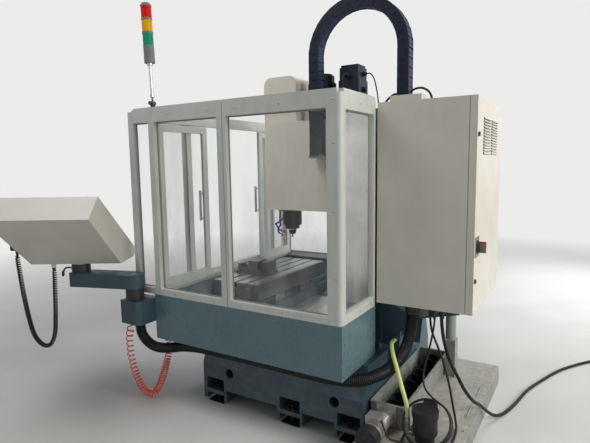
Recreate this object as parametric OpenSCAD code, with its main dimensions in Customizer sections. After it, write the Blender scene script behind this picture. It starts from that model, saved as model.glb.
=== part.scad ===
// Vertical CNC machining center with glazed enclosure, rear electrical cabinet,
// swinging control console and floor-standing coolant tank.
// Millimetres. X to the machine's right, Y to its back, Z up. The origin is on the
// floor, at the centre of the four corner foundation holes. The operator stands at -Y.

/* [Base] */
// Width of the base casting across its feet
base_w = 1360; // [1300:10:1380]
// Front face of the base casting, from the origin
base_front = 650; // [640:5:670]
// Rear face of the base casting, from the origin
base_rear = 640; // [630:5:645]
// Height of the base casting's upper face
base_top = 500; // [490:5:505]
// Thickness of each leveling pad
pad_t = 20; // [12:1:30]
// Distance from each side of the base to its foundation holes
anchor_in = 95; // [85:5:110]
// Distance between the front and rear foundation holes along Y
anchor_y = 1080; // [1060:10:1090]
// Diameter of each foundation hole
anchor_d = 26; // [22:1:30]
// Diameter of the lifting-bar bores
lift_d = 70; // [50:1:80]

/* [Slides] */
// Width of the linear guide rails
rail_w = 45; // [35:1:55]
// Height of the linear guide rails
rail_h = 38; // [30:1:42]
// Height from a rail's seat to the top of its carriage
carriage_h = 60; // [50:1:70]
// Clearance between a carriage and its rail
rail_gap = 0.5; // [0.4:0.1:1]
// Diameter of the ball screws
screw_d = 40; // [32:1:44]
// Radial clearance between a ball screw and its nut
screw_gap = 0.4; // [0.3:0.1:1]

/* [Table] */
// Length of the work table
table_l = 1000; // [900:10:1040]
// Depth of the work table
table_d = 420; // [400:5:440]
// Thickness of the work table
table_t = 130; // [110:5:150]
// Width of each T-slot
slot_w = 18; // [14:1:22]
// Distance between T-slots
slot_pitch = 100; // [80:5:120]

/* [Head] */
// Distance from the column's guide face forward to the spindle axis
throat = 560; // [520:10:580]
// Width of the head cover
head_w = 350; // [320:5:360]
// Height of the spindle nose above the floor at rest
nose_z = 1240; // [1200:5:1300]
// Diameter of the spindle nose
nose_d = 150; // [130:2:160]
// Diameter of the spindle shaft in its cartridge
shaft_d = 70; // [60:1:80]

/* [Enclosure] */
// Width of the enclosure and chip pan
enc_w = 1780; // [1740:10:1820]
// Front face of the chip pan and the door frame, from the origin
enc_front = 900; // [880:5:920]
// Front end of the side frames, which run past the door frame as wings
wing_front = 1090; // [1050:5:1120]
// Rear face of the enclosure, from the origin
enc_rear = 600; // [598:1:610]
// Underside of the chip pan
pan_z = 500; // [490:5:505]
// Top edge of the chip pan, where the frames stand
pan_top = 828; // [800:2:850]
// Top of the glazed frames
frame_top = 2130; // [2080:10:2180]
// Thickness of the glazed frames
frame_t = 40; // [30:2:50]
// Thickness of the window panes
pane_t = 6; // [4:1:8]
// Sheet thickness of the chip pan
pan_sheet = 4; // [3:0.5:6]

/* [Cabinet] */
// Width of the electrical cabinet
cab_w = 810; // [760:10:840]
// Front face of the cabinet body, nearest the enclosure
cab_y0 = 612; // [612:1:625]
// Rear edge of the cabinet body, where the door closes
cab_y1 = 1160; // [1100:10:1200]
// Underside of the cabinet
cab_z0 = 852; // [840:2:870]
// Top of the cabinet
cab_z1 = 2115; // [2050:5:2150]
// Thickness of the cabinet door leaf
door_t = 42; // [30:1:50]
// Sheet thickness of the cabinet
cab_sheet = 4; // [3:0.5:6]

/* [Console] */
// Length of the swinging arm between its pivots
arm_l = 430; // [380:10:480]
// Direction of the arm, from the X axis
arm_turn = -71.7; // [-75:0.1:-65]
// Width of the control console
console_w = 646; // [600:2:700]
// Length of the console's sloping face
face_l = 830; // [780:5:860]
// Slope of the console's face
face_slope = 34; // [30:1:40]
// Direction in which the console is turned
console_turn = 121.5; // [115:0.5:125]

/* [Drag chain] */
// Bend radius at the chain's middle line
chain_r = 318; // [300:2:330]
// Height of the links
chain_h = 74; // [60:1:80]
// Width of the links
chain_w = 90; // [70:1:95]
// Pitch of the links
chain_pitch = 58; // [50:1:66]

/* [Tank] */
// Length of the coolant tank, from the base's left side
tank_l = 1580; // [1500:10:1600]
// Height of the coolant tank's lid above the floor
tank_h = 140; // [120:5:160]
// Height of the trough's rim above the floor
trough_h = 290; // [260:5:310]

/* [Hidden] */
$fn = 48;

// Half widths and shared faces
base_hx = base_w / 2;
anchor_x = base_w - 2 * anchor_in;
enc_hx = enc_w / 2;
cab_hx = cab_w / 2;
head_hx = head_w / 2;
bed_h = 20;
bed_top = base_top + bed_h;
bed_front = base_front + 110;
seat_gap = 0.4;

// Colours
teal = [0.16, 0.26, 0.30];
teal_light = [0.36, 0.46, 0.50];
grey_paint = [0.72, 0.73, 0.70];
cream = [0.86, 0.84, 0.76];
dark = [0.08, 0.08, 0.11];
steel = [0.62, 0.63, 0.64];
bright = [0.78, 0.79, 0.80];
iron = [0.42, 0.43, 0.44];

// Base: feet, arches and pockets, all seen from the side
foot_y = [-anchor_y / 2, 105, anchor_y / 2];
foot_half = 100;
bed_hx = 330;
cell_in = 180;
cell_rib = 35;
cell_w = (base_w - 2 * cell_in - 2 * cell_rib) / 3;
foot_rib = 20;
foot_deep = 140;
web_z0 = 70;
web_z1 = 100;
pocket_z1 = 188;
arch_z = 112;
ledge_z = 295;
ledge_in = 80;
lift_y = [-405, 440];
lift_z = 250;
jack_x = base_hx - 40;
jack_r = 12;

// Column
col_front = 290;
col_rear = 596;
col_top = 2100;
col_foot_hx = 290;
col_head_hx = 250;
tunnel_hx = 115;
tunnel_h = 200;
trough_hx = 90;

// Slides
table_y = -470;
saddle_hy = 220;
saddle_hx = 640;
saddle_z0 = bed_top + carriage_h;
saddle_t = 110;
saddle_z1 = saddle_z0 + saddle_t;
table_z0 = saddle_z1 + carriage_h;
table_z1 = table_z0 + table_t;
y_rail_x = 250;
y_rail_front = bed_front - 15;
y_rail_rear = col_front - 30;
x_rail_y = 150;
z_rail_x = 190;
z_rail_z0 = 950;
z_rail_z1 = 2080;
screw_r = screw_d / 2;
x_screw_z = saddle_z1;
y_screw_z = 545;
z_screw_y = col_front - 28;
x_nut_hx = 45;
y_nut_y0 = -520;
y_nut_y1 = -420;
z_nut_z0 = 1560;
z_nut_z1 = 1660;

// Telescopic way covers: saddle plates, two moving steps and fixed ends
cover_hx = 345;
cover_l = 144;
cover_skirt = 44;
cover_sheet = 2;
cover_step = 4;
cover_z = 592;
rear_gap_y0 = table_y + saddle_hy;
rear_gap_y1 = col_front - 5;
front_gap_y1 = table_y - saddle_hy;
front_gap_y0 = -(enc_front - 38);

// Vise on the table
vise_x = 150;
vise_y = -520;
vise_w = 130;
vise_l = 300;
vise_h = 42;
jaw_h = 62;
vise_open = 40;
jaw_l = 90;
vise_reach = 45;

// Head
spindle_y = col_front - throat;
plate_y0 = 190;
plate_y1 = col_front - carriage_h;
head_z0 = nose_z + 160;
head_z1 = 1850;
cover_top = 2060;
head_front = -410;
hump_top = 2395;
motor_y = 10;
motor_r = 100;
motor_top = 2400;
nose_r = nose_d / 2;
shaft_r = shaft_d / 2;

// Enclosure side frames, in Y along the right side
mull_y0 = -271;
mull_seam = -225;
mull_y1 = -200;
post2_y0 = -886;
post2_y1 = -835;
wing_post = 50;
rear_post_y = 508;
win_z0 = 873;
win_z1 = 2050;
seam = 0.8;
lip_h = 22;

// Door frame and doors
sill_z1 = 910;
door_open_hx = 496;
stile_w = 62;
door_x0 = 350;
door_x1 = 845;
door_z0 = 886;
door_z1 = 2040;
door_frame_t = 24;
door_y0 = -(enc_front - frame_t) + 4;
track_y = door_y0 + door_frame_t;

// Rear short frames
short_x0 = 406;

// Cabinet
gusset_x = 245;
gusset_t = 16;
post_xy = [-350, 906];
post_foot = 420;
gland_r = 46;
gland_l = 30;
conduit_x = 322;
conduit_y = 822;
cables_x = 345;
pump_gland_y = 945;
mains_gland_y = 1015;
entry_x0 = 150;
entry_x1 = 320;
entry_y0 = 660;
entry_y1 = 860;
entry_h = 46;
hinge_x = -(cab_hx + 8);
hinge_r = 7;
hinge_pin_r = 4;
hinge_zs = [960, 1470, 1980];
switch_x = 340;
switch_z = 1250;

// Console arm pivots
pivot1 = [975, -1010];
conduit_end = [912, -1045, 600];
air_ends = [[985, -1066, 612], [765, -932, 530]];
arm_z0 = 885;
arm_z1 = 985;
arm_r = 75;
pivot2 = [pivot1[0] + arm_l * cos(arm_turn), pivot1[1] + arm_l * sin(arm_turn)];
swivel_r = 65;
console_z = 1057;
face_y0 = -414;
face_z0 = 1560;
face_y1 = face_y0 + face_l * cos(face_slope);
face_z1 = face_z0 - face_l * sin(face_slope);
face_hx = 300;
console_sheet = 3;
panel_v0 = 22;
panel_v1 = face_l - 22;
panel_t = 4;
estop_u = -225;
estop_v = 700;
knob_u = 170;
knob_v = 700;
mpg_y = -205;
mpg_z0 = 1185;

// Signal tower
tower_xy = [870, -850];
tower_z = frame_top + lip_h;
tower_lean = 2;
knuckle_z = tower_z + 26;

// Drag chain: plane, legs and turning centre
chain_x = 230;
chain_left_y = 88;
chain_mid_y = chain_left_y + chain_r;
chain_right_y = chain_left_y + 2 * chain_r;
chain_centre_z = 2470;
chain_head_z = 1800;
chain_base_z = cab_z1 + entry_h;

// Tank
tank_x0 = -base_hx;
tank_x1 = tank_x0 + tank_l;
tank_y0 = 655;
tank_y1 = 1205;
trough_x0 = -400;
trough_x1 = 600;
trough_y1 = 865;
tank_sheet = 4;
pump_xy = [650, 1010];

// Cord diameters
conduit_d = 75;
curl_d = 34;
air_coil_d = 56;
mains_d = 22;
pump_d = 14;
coolant_d = 26;

// Cord routes, hand placed; the console's own cord is in the console's frame
conduit_route = [
    [322, 822, 822], [322, 822, 760], [335, 818, 690], [372, 810, 610], [430, 795, 550],
    [540, 765, 500], [650, 715, 476], [735, 635, 461], [775, 520, 457], [785, 400, 456],
    [785, 150, 456], [785, -100, 456], [785, -350, 455], [787, -560, 450], [800, -720, 437],
    [828, -812, 421], [858, -894, 415], [879, -952, 427], [896, -1001, 462], [908, -1034, 512],
    [912, -1045, 564], conduit_end
];
air_route = [
    air_ends[0], [985, -1066, 572], [982, -1088, 505], [975, -1092, 391], [965, -1088, 303],
    [948, -1076, 201], [925, -1055, 112], [900, -1032, 60], [870, -1008, 36], [845, -988, 52],
    [828, -964, 100], [818, -944, 155], [807, -922, 228], [790, -904, 320], [770, -906, 390],
    [760, -922, 445], [765, -932, 490], air_ends[1]
];
power_route = [
    [345, 1015, 822], [345, 1015, 762], [340, 1030, 650], [320, 1060, 529], [300, 1105, 425],
    [270, 1148, 325], [200, 1185, 235], [110, 1212, 172], [30, 1238, 105], [-45, 1264, 50],
    [-110, 1290, 20], [-190, 1322, 11], [-358, 1366, 11], [-620, 1415, 11], [-880, 1500, 11],
    [-1160, 1612, 11], [-1400, 1760, 11], [-1510, 1850, 11], [-1570, 1915, 11]
];
pump_route = [
    [345, 945, 822], [345, 945, 762], [348, 960, 690], [354, 1000, 600], [360, 1040, 500],
    [368, 1075, 380], [372, 1098, 270], [384, 1118, 190], [415, 1132, 156], [470, 1142, 148],
    [560, 1150, 148], [660, 1145, 148], [750, 1115, 148], [800, 1050, 148], [805, 980, 148],
    [775, 920, 148], [700, 892, 148], [600, 890, 148], [520, 905, 148], [478, 940, 148],
    [480, 980, 152], [510, 1004, 170], [538, 1010, 207], [538, 1010, 245]
];
coolant_route = [
    [285, 694, 576], [318, 694, 576], [365, 703, 590], [420, 722, 594], [480, 746, 588],
    [540, 780, 562], [590, 822, 505], [625, 860, 430], [646, 895, 350], [650, 905, 300],
    [650, 905, 272]
];
curl_route = [
    [-345, -205, 1163], [-345, -205, 1110], [-337, -202, 1000], [-327, -196, 860], [-312, -184, 700],
    [-290, -166, 560], [-252, -136, 480], [-214, -106, 470], [-188, -86, 540], [-178, -74, 680],
    [-174, -66, 840], [-172, -60, 960], [-172, -60, 1030]
];
coil_c = [-1480, 2020];
coil_r = 120;
coil_t = 46;

// Plain helpers
module box(x0, x1, y0, y1, z0, z1) {
    translate([x0, y0, z0]) cube([x1 - x0, y1 - y0, z1 - z0]);
}
module span(x0, x1, y0, y1) {
    translate([x0, y0]) square([x1 - x0, y1 - y0]);
}
// Rectangle with true round corners
module rspan(x0, x1, y0, y1, r) {
    span(x0 + r, x1 - r, y0, y1);
    span(x0, x1, y0 + r, y1 - r);
    for (x = [x0 + r, x1 - r], y = [y0 + r, y1 - r]) translate([x, y]) circle(r);
}
// Profile in Y and Z, extruded along X from x0
module along_x(x0, t) {
    translate([x0, 0, 0]) rotate([90, 0, 90]) linear_extrude(t) children();
}
// Profile in X and Z, extruded along Y from y0
module along_y(y0, t) {
    translate([0, y0 + t, 0]) rotate([90, 0, 0]) linear_extrude(t) children();
}
module along_z(z0, t) {
    translate([0, 0, z0]) linear_extrude(t) children();
}
module rod_x(x0, x1, y, z, r) {
    translate([x0, y, z]) rotate([0, 90, 0]) cylinder(r = r, h = x1 - x0);
}
module rod_y(y0, y1, x, z, r) {
    translate([x, y0, z]) rotate([-90, 0, 0]) cylinder(r = r, h = y1 - y0);
}
module rod_z(z0, z1, x, y, r) {
    translate([x, y, z0]) cylinder(r = r, h = z1 - z0);
}
module hex_z(z0, z1, x, y, flats) {
    translate([x, y, z0]) cylinder(r = flats / sqrt(3), h = z1 - z0, $fn = 6);
}
module both_sides() {
    children();
    mirror([1, 0, 0]) children();
}

// Tube swept along a route as one closed polyhedron
function unit(v) = v / norm(v);
function tangent(p, i) = unit(p[min(i + 1, len(p) - 1)] - p[max(i - 1, 0)]);
function side_of(t, n) = unit(n - (n * t) * t);
function frames(p, i, n) =
    i >= len(p) ? [] : concat([[p[i], tangent(p, i), side_of(tangent(p, i), n)]],
                              frames(p, i + 1, side_of(tangent(p, i), n)));
module tube(route, d, sides = 8) {
    first = abs(tangent(route, 0)[0]) < 0.9 ? [1, 0, 0] : [0, 1, 0];
    rings = frames(route, 0, first);
    points = [
        for (f = rings, k = [0 : sides - 1])
            f[0] + d / 2 * (cos(360 * k / sides) * f[2] + sin(360 * k / sides) * cross(f[1], f[2]))
    ];
    last = (len(rings) - 1) * sides;
    faces = concat(
        [[for (k = [0 : sides - 1]) k]],
        [for (j = [0 : len(rings) - 2], k = [0 : sides - 1])
            [j * sides + k, (j + 1) * sides + k, (j + 1) * sides + (k + 1) % sides]],
        [for (j = [0 : len(rings) - 2], k = [0 : sides - 1])
            [j * sides + k, (j + 1) * sides + (k + 1) % sides, j * sides + (k + 1) % sides]],
        [[for (k = [sides - 1 : -1 : 0]) last + k]]
    );
    polyhedron(points = points, faces = faces, convexity = 6);
}

// Frames that the console group and its sloping face are drawn in
module at_console() {
    translate([pivot2[0], pivot2[1], 0]) rotate([0, 0, console_turn]) children();
}
module at_face() {
    at_console() translate([0, face_y0, face_z0]) rotate([-face_slope, 0, 0]) children();
}
module at_tower() {
    translate([tower_xy[0], tower_xy[1], knuckle_z]) rotate([tower_lean, 0, 0]) children();
}

// Base casting, its feet and pads

module base_side_profile() {
    polygon([
        [-base_front, pad_t], [foot_y[0] + foot_half, pad_t],
        [foot_y[0] + foot_half, arch_z], [foot_y[1] - foot_half, arch_z],
        [foot_y[1] - foot_half, pad_t], [foot_y[1] + foot_half, pad_t],
        [foot_y[1] + foot_half, arch_z], [foot_y[2] - foot_half, arch_z],
        [foot_y[2] - foot_half, pad_t], [base_rear, pad_t],
        [base_rear, base_top], [-base_front, base_top]
    ]);
}

module base_foot_pocket(y) {
    for (z = [[pad_t - 1, web_z0], [web_z1, pocket_z1]])
        box(base_hx - foot_deep, base_hx + 1, y - foot_half + foot_rib,
            y + foot_half - foot_rib, z[0], z[1]);
    rod_z(web_z0 - 1, web_z1 + 1, anchor_x / 2, y, anchor_d / 2);
    rod_z(web_z0 - 1, web_z1 + 1, jack_x, y, jack_r + 0.2);
}

module base_casting() {
    color(teal) difference() {
        union() {
            along_x(-base_hx, base_w) base_side_profile();
            // Way bed with its overhanging nose
            box(-bed_hx, bed_hx, -bed_front, -base_front + 1, base_top - 100, bed_top);
            box(-bed_hx, bed_hx, -base_front, col_front - 10, base_top - 1, bed_top);
            box(-col_foot_hx - 30, col_foot_hx + 30, col_front - 28, col_rear, base_top - 1, bed_top);
        }
        // Sloping shoulders above the ledge
        both_sides() along_y(-base_front - 1, base_front + base_rear + 2)
            polygon([[base_hx + 1, ledge_z], [base_hx, ledge_z],
                     [base_hx - ledge_in, base_top + 1], [base_hx + 1, base_top + 1]]);
        both_sides() for (y = foot_y) base_foot_pocket(y);
        // Lifting-bar bores and the cored space behind them
        both_sides() for (y = lift_y) rod_x(base_hx - 60, base_hx + 1, y, lift_z, lift_d / 2);
        for (y = lift_y) box(-base_hx + 50, base_hx - 50, y - 90, y + 90, pocket_z1 + 12, lift_z + 70);
        // Trough for the Y screw
        box(-80, 80, -bed_front + 45, col_rear - 96, base_top - 40, bed_top + 1);
        // Cored cells open at the underside, between ribs
        for (y = [-base_front + 40, 30, base_rear - 175], k = [0 : 2]) {
            x = -base_hx + cell_in + k * (cell_w + cell_rib);
            box(x, x + cell_w, y, y + 150, pad_t - 1, base_top - 70);
        }
    }
}

module leveling_pads() {
    both_sides() for (y = foot_y) {
        // Sole plate with its foundation hole and a raised seat for the screw
        color(iron) difference() {
            union() {
                box(anchor_x / 2 - 45, jack_x + 34, y - 68, y + 68, 0, pad_t - 8);
                rod_z(pad_t - 9, pad_t, jack_x, y, 24);
            }
            rod_z(-1, pad_t, anchor_x / 2, y, anchor_d / 2);
        }
        color(steel) {
            rod_z(pad_t - 1, web_z1 + 34, jack_x, y, jack_r);
            hex_z(web_z1, web_z1 + 18, jack_x, y, 36);
        }
    }
}

// Column and guide ways

module column_casting() {
    color(teal) difference() {
        union() {
            along_y(col_front, col_rear - col_front) polygon([
                [-col_foot_hx, bed_top], [col_foot_hx, bed_top],
                [col_head_hx, col_top], [-col_head_hx, col_top]
            ]);
            box(-col_foot_hx - 30, col_foot_hx + 30, col_front - 28, col_rear, bed_top, bed_top + 40);
        }
        // Trough for the Z screw and tunnel for the Y motor
        box(-trough_hx, trough_hx, col_front - 1, col_front + 60, bed_top + tunnel_h + 60, col_top + 1);
        box(-tunnel_hx, tunnel_hx, col_front - 30, 510, bed_top - 1, bed_top + tunnel_h);
        // Cast recesses between ribs, on both sides
        both_sides() for (z = [640, 1010, 1380, 1750])
            box(col_head_hx - 12, col_foot_hx + 5, col_front + 60, col_rear - 60, z, z + 300);
        // Cored cells behind the front wall
        for (z = [800, 1120, 1440, 1760])
            box(-col_head_hx + 40, col_head_hx - 40, col_front + 90, col_rear - 30, z, z + 280);
    }
    color(iron) both_sides() for (y = [col_front + 50, 420, col_rear - 40])
        hex_z(bed_top + 40, bed_top + 56, col_foot_hx + 16, y, 24);
}

module rail_y() {
    box(-rail_w / 2, rail_w / 2, -y_rail_front, y_rail_rear, 0, rail_h);
}

module guide_rails() {
    color(bright) {
        for (x = [-y_rail_x, y_rail_x]) translate([x, 0, bed_top]) difference() {
            rail_y();
            for (s = [-1, 1]) box(s * rail_w / 2 - 5, s * rail_w / 2 + 5, -bed_front, 300, 14, 24);
        }
        for (x = [-z_rail_x, z_rail_x]) difference() {
            box(x - rail_w / 2, x + rail_w / 2, col_front - rail_h, col_front, z_rail_z0, z_rail_z1);
            for (s = [-1, 1]) box(x + s * rail_w / 2 - 5, x + s * rail_w / 2 + 5,
                                  col_front - 24, col_front - 14, z_rail_z0 - 1, z_rail_z1 + 1);
        }
    }
}

// Carriage block on a rail that runs along Y, its seat at z 0, centred on y 0
module carriage(l = 120) {
    difference() {
        box(-50, 50, -l / 2, l / 2, 8, carriage_h);
        box(-rail_w / 2 - rail_gap, rail_w / 2 + rail_gap, -l, l, -1, rail_h + rail_gap);
    }
}

// Servo motor with its flange at z 0 and its body upward
module servo(w, l) {
    along_z(0, 14) rspan(-w / 2, w / 2, -w / 2, w / 2, 8);
    along_z(13, l * 0.62) rspan(-w / 2 + 6, w / 2 - 6, -w / 2 + 6, w / 2 - 6, 14);
    along_z(l * 0.62 + 12, l * 0.38 - 30) rspan(-w / 2 + 12, w / 2 - 12, -w / 2 + 12, w / 2 - 12, 14);
    along_z(l - 20, 20) rspan(-w / 2 + 20, w / 2 - 20, -w / 2 + 20, w / 2 - 20, 10);
    // Power and encoder sockets
    for (s = [[0.45, 17], [0.8, 13]]) translate([0, w / 2 - 18, l * s[0]]) rotate([-90, 0, 0]) {
        cylinder(r = s[1], h = 34);
        cylinder(r = s[1] + 4, h = 20);
    }
}

module axis_servo_motors() {
    color(dark) {
        translate([0, 310, y_screw_z]) rotate([-90, 0, 0]) servo(120, 185);
        translate([0, z_screw_y, col_top + 25]) servo(176, 312);
    }
    color(iron) {
        // Z motor bracket and thrust bearing
        difference() {
            box(-110, 110, z_screw_y - 90, 440, col_top, col_top + 25);
            rod_z(col_top - 1, col_top + 26, 0, z_screw_y, 30);
        }
        // Y motor bracket and thrust bearing
        difference() {
            box(-64, 64, 270, 310, 460, cover_z - cover_sheet - 4);
            rod_y(269, 311, 0, y_screw_z, 30);
        }
    }
}

// Ball screw along Z, with a threaded length and plain journals
module ball_screw(l, journal) {
    rod_z(0, l, 0, 0, screw_r);
    rod_z(l - 1, l + journal, 0, 0, screw_r * 0.6);
}

module y_ball_screw() {
    color(bright) translate([0, -bed_front + 50, y_screw_z]) rotate([-90, 0, 0])
        ball_screw(bed_front + 210, 45);
}

module x_ball_screw() {
    color(bright) translate([-saddle_hx + 40, table_y, x_screw_z]) rotate([0, 90, 0])
        ball_screw(2 * saddle_hx - 80, 52);
}

module z_ball_screw() {
    color(bright) translate([0, z_screw_y, 1120]) ball_screw(col_top - 1120 - 10, 32);
}

// Saddle with its rails and the X drive

module saddle_casting() {
    color(teal) difference() {
        union() {
            difference() {
                box(-saddle_hx, saddle_hx, table_y - saddle_hy, table_y + saddle_hy, saddle_z0, saddle_z1);
                // Waist of the casting outside the Y carriages
                both_sides() along_y(table_y - saddle_hy - 1, 2 * saddle_hy + 2) polygon([
                    [340, saddle_z0 - 1], [saddle_hx + 1, saddle_z0 - 1], [saddle_hx + 1, saddle_z0 + 45]
                ]);
            }
            // Y carriages and the nut housing
            for (x = [-y_rail_x, y_rail_x], y = [-150, 150])
                translate([x, table_y + y, bed_top]) carriage();
            box(-50, 50, y_nut_y0, y_nut_y1, y_screw_z - 40, saddle_z0 + 1);
        }
        // Trough for the X screw
        box(-saddle_hx - 1, saddle_hx + 1, table_y - 60, table_y + 60, saddle_z1 - 48, saddle_z1 + 1);
        rod_y(y_nut_y0 - 1, y_nut_y1 + 1, 0, y_screw_z, screw_r + screw_gap);
    }
    color(bright) for (y = [-x_rail_y, x_rail_y]) difference() {
        box(-saddle_hx, saddle_hx, table_y + y - rail_w / 2, table_y + y + rail_w / 2,
            saddle_z1, saddle_z1 + rail_h);
        for (s = [-1, 1]) box(-saddle_hx - 1, saddle_hx + 1, table_y + y + s * rail_w / 2 - 5,
                              table_y + y + s * rail_w / 2 + 5, saddle_z1 + 14, saddle_z1 + 24);
    }
    color(iron) difference() {
        // End plates that carry the X screw's bearings
        union() {
            box(saddle_hx, saddle_hx + 16, table_y - 75, table_y + 75, saddle_z0 + 50, saddle_z1 + 52);
            box(-saddle_hx, -saddle_hx + 30, table_y - 60, table_y + 60, saddle_z1 - 49, saddle_z1 + 45);
        }
        rod_x(-saddle_hx - 1, -saddle_hx + 41, table_y, x_screw_z, screw_r + screw_gap);
        rod_x(saddle_hx - 1, saddle_hx + 17, table_y, x_screw_z, 30);
    }
}

module x_servo_motor() {
    color(dark) translate([saddle_hx + 16, table_y, x_screw_z]) rotate([0, 90, 0])
        rotate([0, 0, -90]) servo(104, 165);
}

// One telescopic step: an inverted channel over the Y rails
module way_plate(y0, y1, step) {
    lift = step * cover_step;
    along_y(y0, y1 - y0) polygon([
        [-cover_hx - lift, cover_z - cover_skirt], [-cover_hx - lift, cover_z + lift],
        [cover_hx + lift, cover_z + lift], [cover_hx + lift, cover_z - cover_skirt],
        [cover_hx + lift - cover_sheet, cover_z - cover_skirt],
        [cover_hx + lift - cover_sheet, cover_z + lift - cover_sheet],
        [-cover_hx - lift + cover_sheet, cover_z + lift - cover_sheet],
        [-cover_hx - lift + cover_sheet, cover_z - cover_skirt]
    ]);
}

// Sliding strip under a step, on top of the step below it
module cover_strip(y0, step) {
    box(-cover_hx + 20, cover_hx - 20, y0, y0 + 6, cover_z + (step - 1) * cover_step,
        cover_z + step * cover_step - cover_sheet + 0.5);
}

// Front edge of plate k, counted from the first face of a gap that four plates share
function plate_y(y0, y1, k) = y0 + k * (y1 - y0 - cover_l) / 3;

// One pair of plates, behind and in front of the saddle; step 3 moves with the saddle
module cover_pair(step) {
    rear = plate_y(rear_gap_y0, rear_gap_y1, 3 - step);
    front = plate_y(front_gap_y0, front_gap_y1, step);
    color(bright) {
        way_plate(rear, rear + cover_l, step);
        way_plate(front, front + cover_l, step);
        if (step > 0) {
            cover_strip(rear + cover_l - 6, step);
            cover_strip(front, step);
        }
    }
}

module saddle_covers() {
    cover_pair(3);
}

module way_plates_a() {
    cover_pair(2);
}

module way_plates_b() {
    cover_pair(1);
}

// Work table and vise

module work_table() {
    color(steel) difference() {
        union() {
            box(-table_l / 2, table_l / 2, table_y - table_d / 2, table_y + table_d / 2,
                table_z0 + 30, table_z1);
            box(-table_l / 2 + 30, table_l / 2 - 30, table_y - table_d / 2 + 20,
                table_y + table_d / 2 - 20, table_z0, table_z0 + 31);
            // X carriages and the nut housing
            for (x = [-200, 200], y = [-x_rail_y, x_rail_y])
                translate([x, table_y + y, saddle_z1]) rotate([0, 0, 90]) carriage();
            box(-x_nut_hx, x_nut_hx, table_y - 40, table_y + 40, x_screw_z - 36, table_z0 + 1);
        }
        rod_x(-x_nut_hx - 1, x_nut_hx + 1, table_y, x_screw_z, screw_r + screw_gap);
        // T-slots
        for (k = [-1 : 1]) {
            y = table_y + k * slot_pitch;
            box(-table_l, table_l, y - slot_w / 2, y + slot_w / 2, table_z1 - 30, table_z1 + 1);
            box(-table_l, table_l, y - slot_w, y + slot_w, table_z1 - 34, table_z1 - 18);
        }
        // Coolant gutter round the edge
        for (s = [-1, 1]) box(-table_l / 2 + 24, table_l / 2 - 24, table_y + s * (table_d / 2 - 16) - 6,
                              table_y + s * (table_d / 2 - 16) + 6, table_z1 - 8, table_z1 + 1);
    }
}

module vise_body() {
    translate([vise_x, vise_y, table_z1]) {
        color(iron) difference() {
            union() {
                along_z(0, 20) rspan(-vise_w / 2 - 25, vise_w / 2 + 25, -vise_l / 2, vise_l / 2, 12);
                box(-vise_w / 2, vise_w / 2, -vise_l / 2 + 8, vise_l / 2 - 8, 19, vise_h);
                // Fixed jaw at the rear end
                box(-vise_w / 2, vise_w / 2, vise_l / 2 - 60, vise_l / 2 - 8, vise_h - 1, vise_h + jaw_h);
                // Nut block for the screw at the front end
                box(-vise_w / 2, vise_w / 2, -vise_l / 2 + 8, -vise_l / 2 + 40, vise_h - 1, vise_h + 34);
            }
            // Guide groove for the moving jaw
            box(-20, 20, -vise_l / 2 + 40, vise_l / 2 - 60, 24, vise_h + 1);
            rod_y(-vise_l / 2, -vise_l / 2 + 50, 0, vise_h + 17, 10.4);
        }
    }
}

module vise_jaw() {
    y1 = vise_l / 2 - 60 - vise_open;
    translate([vise_x, vise_y, table_z1]) color(iron) difference() {
        union() {
            box(-vise_w / 2, vise_w / 2, y1 - jaw_l, y1, vise_h, vise_h + jaw_h);
            box(-19.5, 19.5, y1 - jaw_l + 4, y1 - 4, 24.5, vise_h + 1);
        }
        rod_y(y1 - jaw_l - 1, y1 - 10, 0, vise_h + 17, 10.4);
    }
}

module vise_screw() {
    y1 = vise_l / 2 - 60 - vise_open;
    translate([vise_x, vise_y, table_z1 + vise_h + 17]) color(bright) {
        rod_y(-vise_l / 2 - 28, y1 - jaw_l + vise_reach, 0, 0, 10);
        translate([0, -vise_l / 2 - 40, 0]) rotate([-90, 0, 0]) cylinder(r = 13, h = 22, $fn = 6);
    }
}

// Head, spindle and cooling

module head_casting() {
    color(iron) difference() {
        union() {
            // Back plate on its carriages
            box(-235, 235, plate_y0, plate_y1, head_z0 + 10, head_z1);
            box(-150, 150, -340, plate_y0 + 1, head_z0 + 2, head_z1);
            rod_z(head_z0 + 2, head_z1, 0, spindle_y, 120);
            for (x = [-z_rail_x, z_rail_x], z = [1500, 1760])
                translate([x, col_front, z]) rotate([90, 0, 0]) carriage();
            box(-50, 50, plate_y1 - 1, z_screw_y + 40, z_nut_z0, z_nut_z1);
        }
        rod_z(z_nut_z0 - 1, z_nut_z1 + 1, 0, z_screw_y, screw_r + screw_gap);
        rod_z(head_z0 - 1, head_z1 + 1, 0, spindle_y, 70);
        // Cored space behind the spindle
        box(-120, 120, -130, 160, head_z0 + 40, head_z1 - 40);
    }
    color(steel) {
        // Shelf for the moving end of the drag chain
        box(head_hx + 3, chain_x + 46, chain_left_y - 45, plate_y0, chain_head_z - 14, chain_head_z);
        box(head_hx + 3, chain_x + 46, plate_y0 - 14, plate_y0, chain_head_z - 90, chain_head_z);
    }
}

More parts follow.
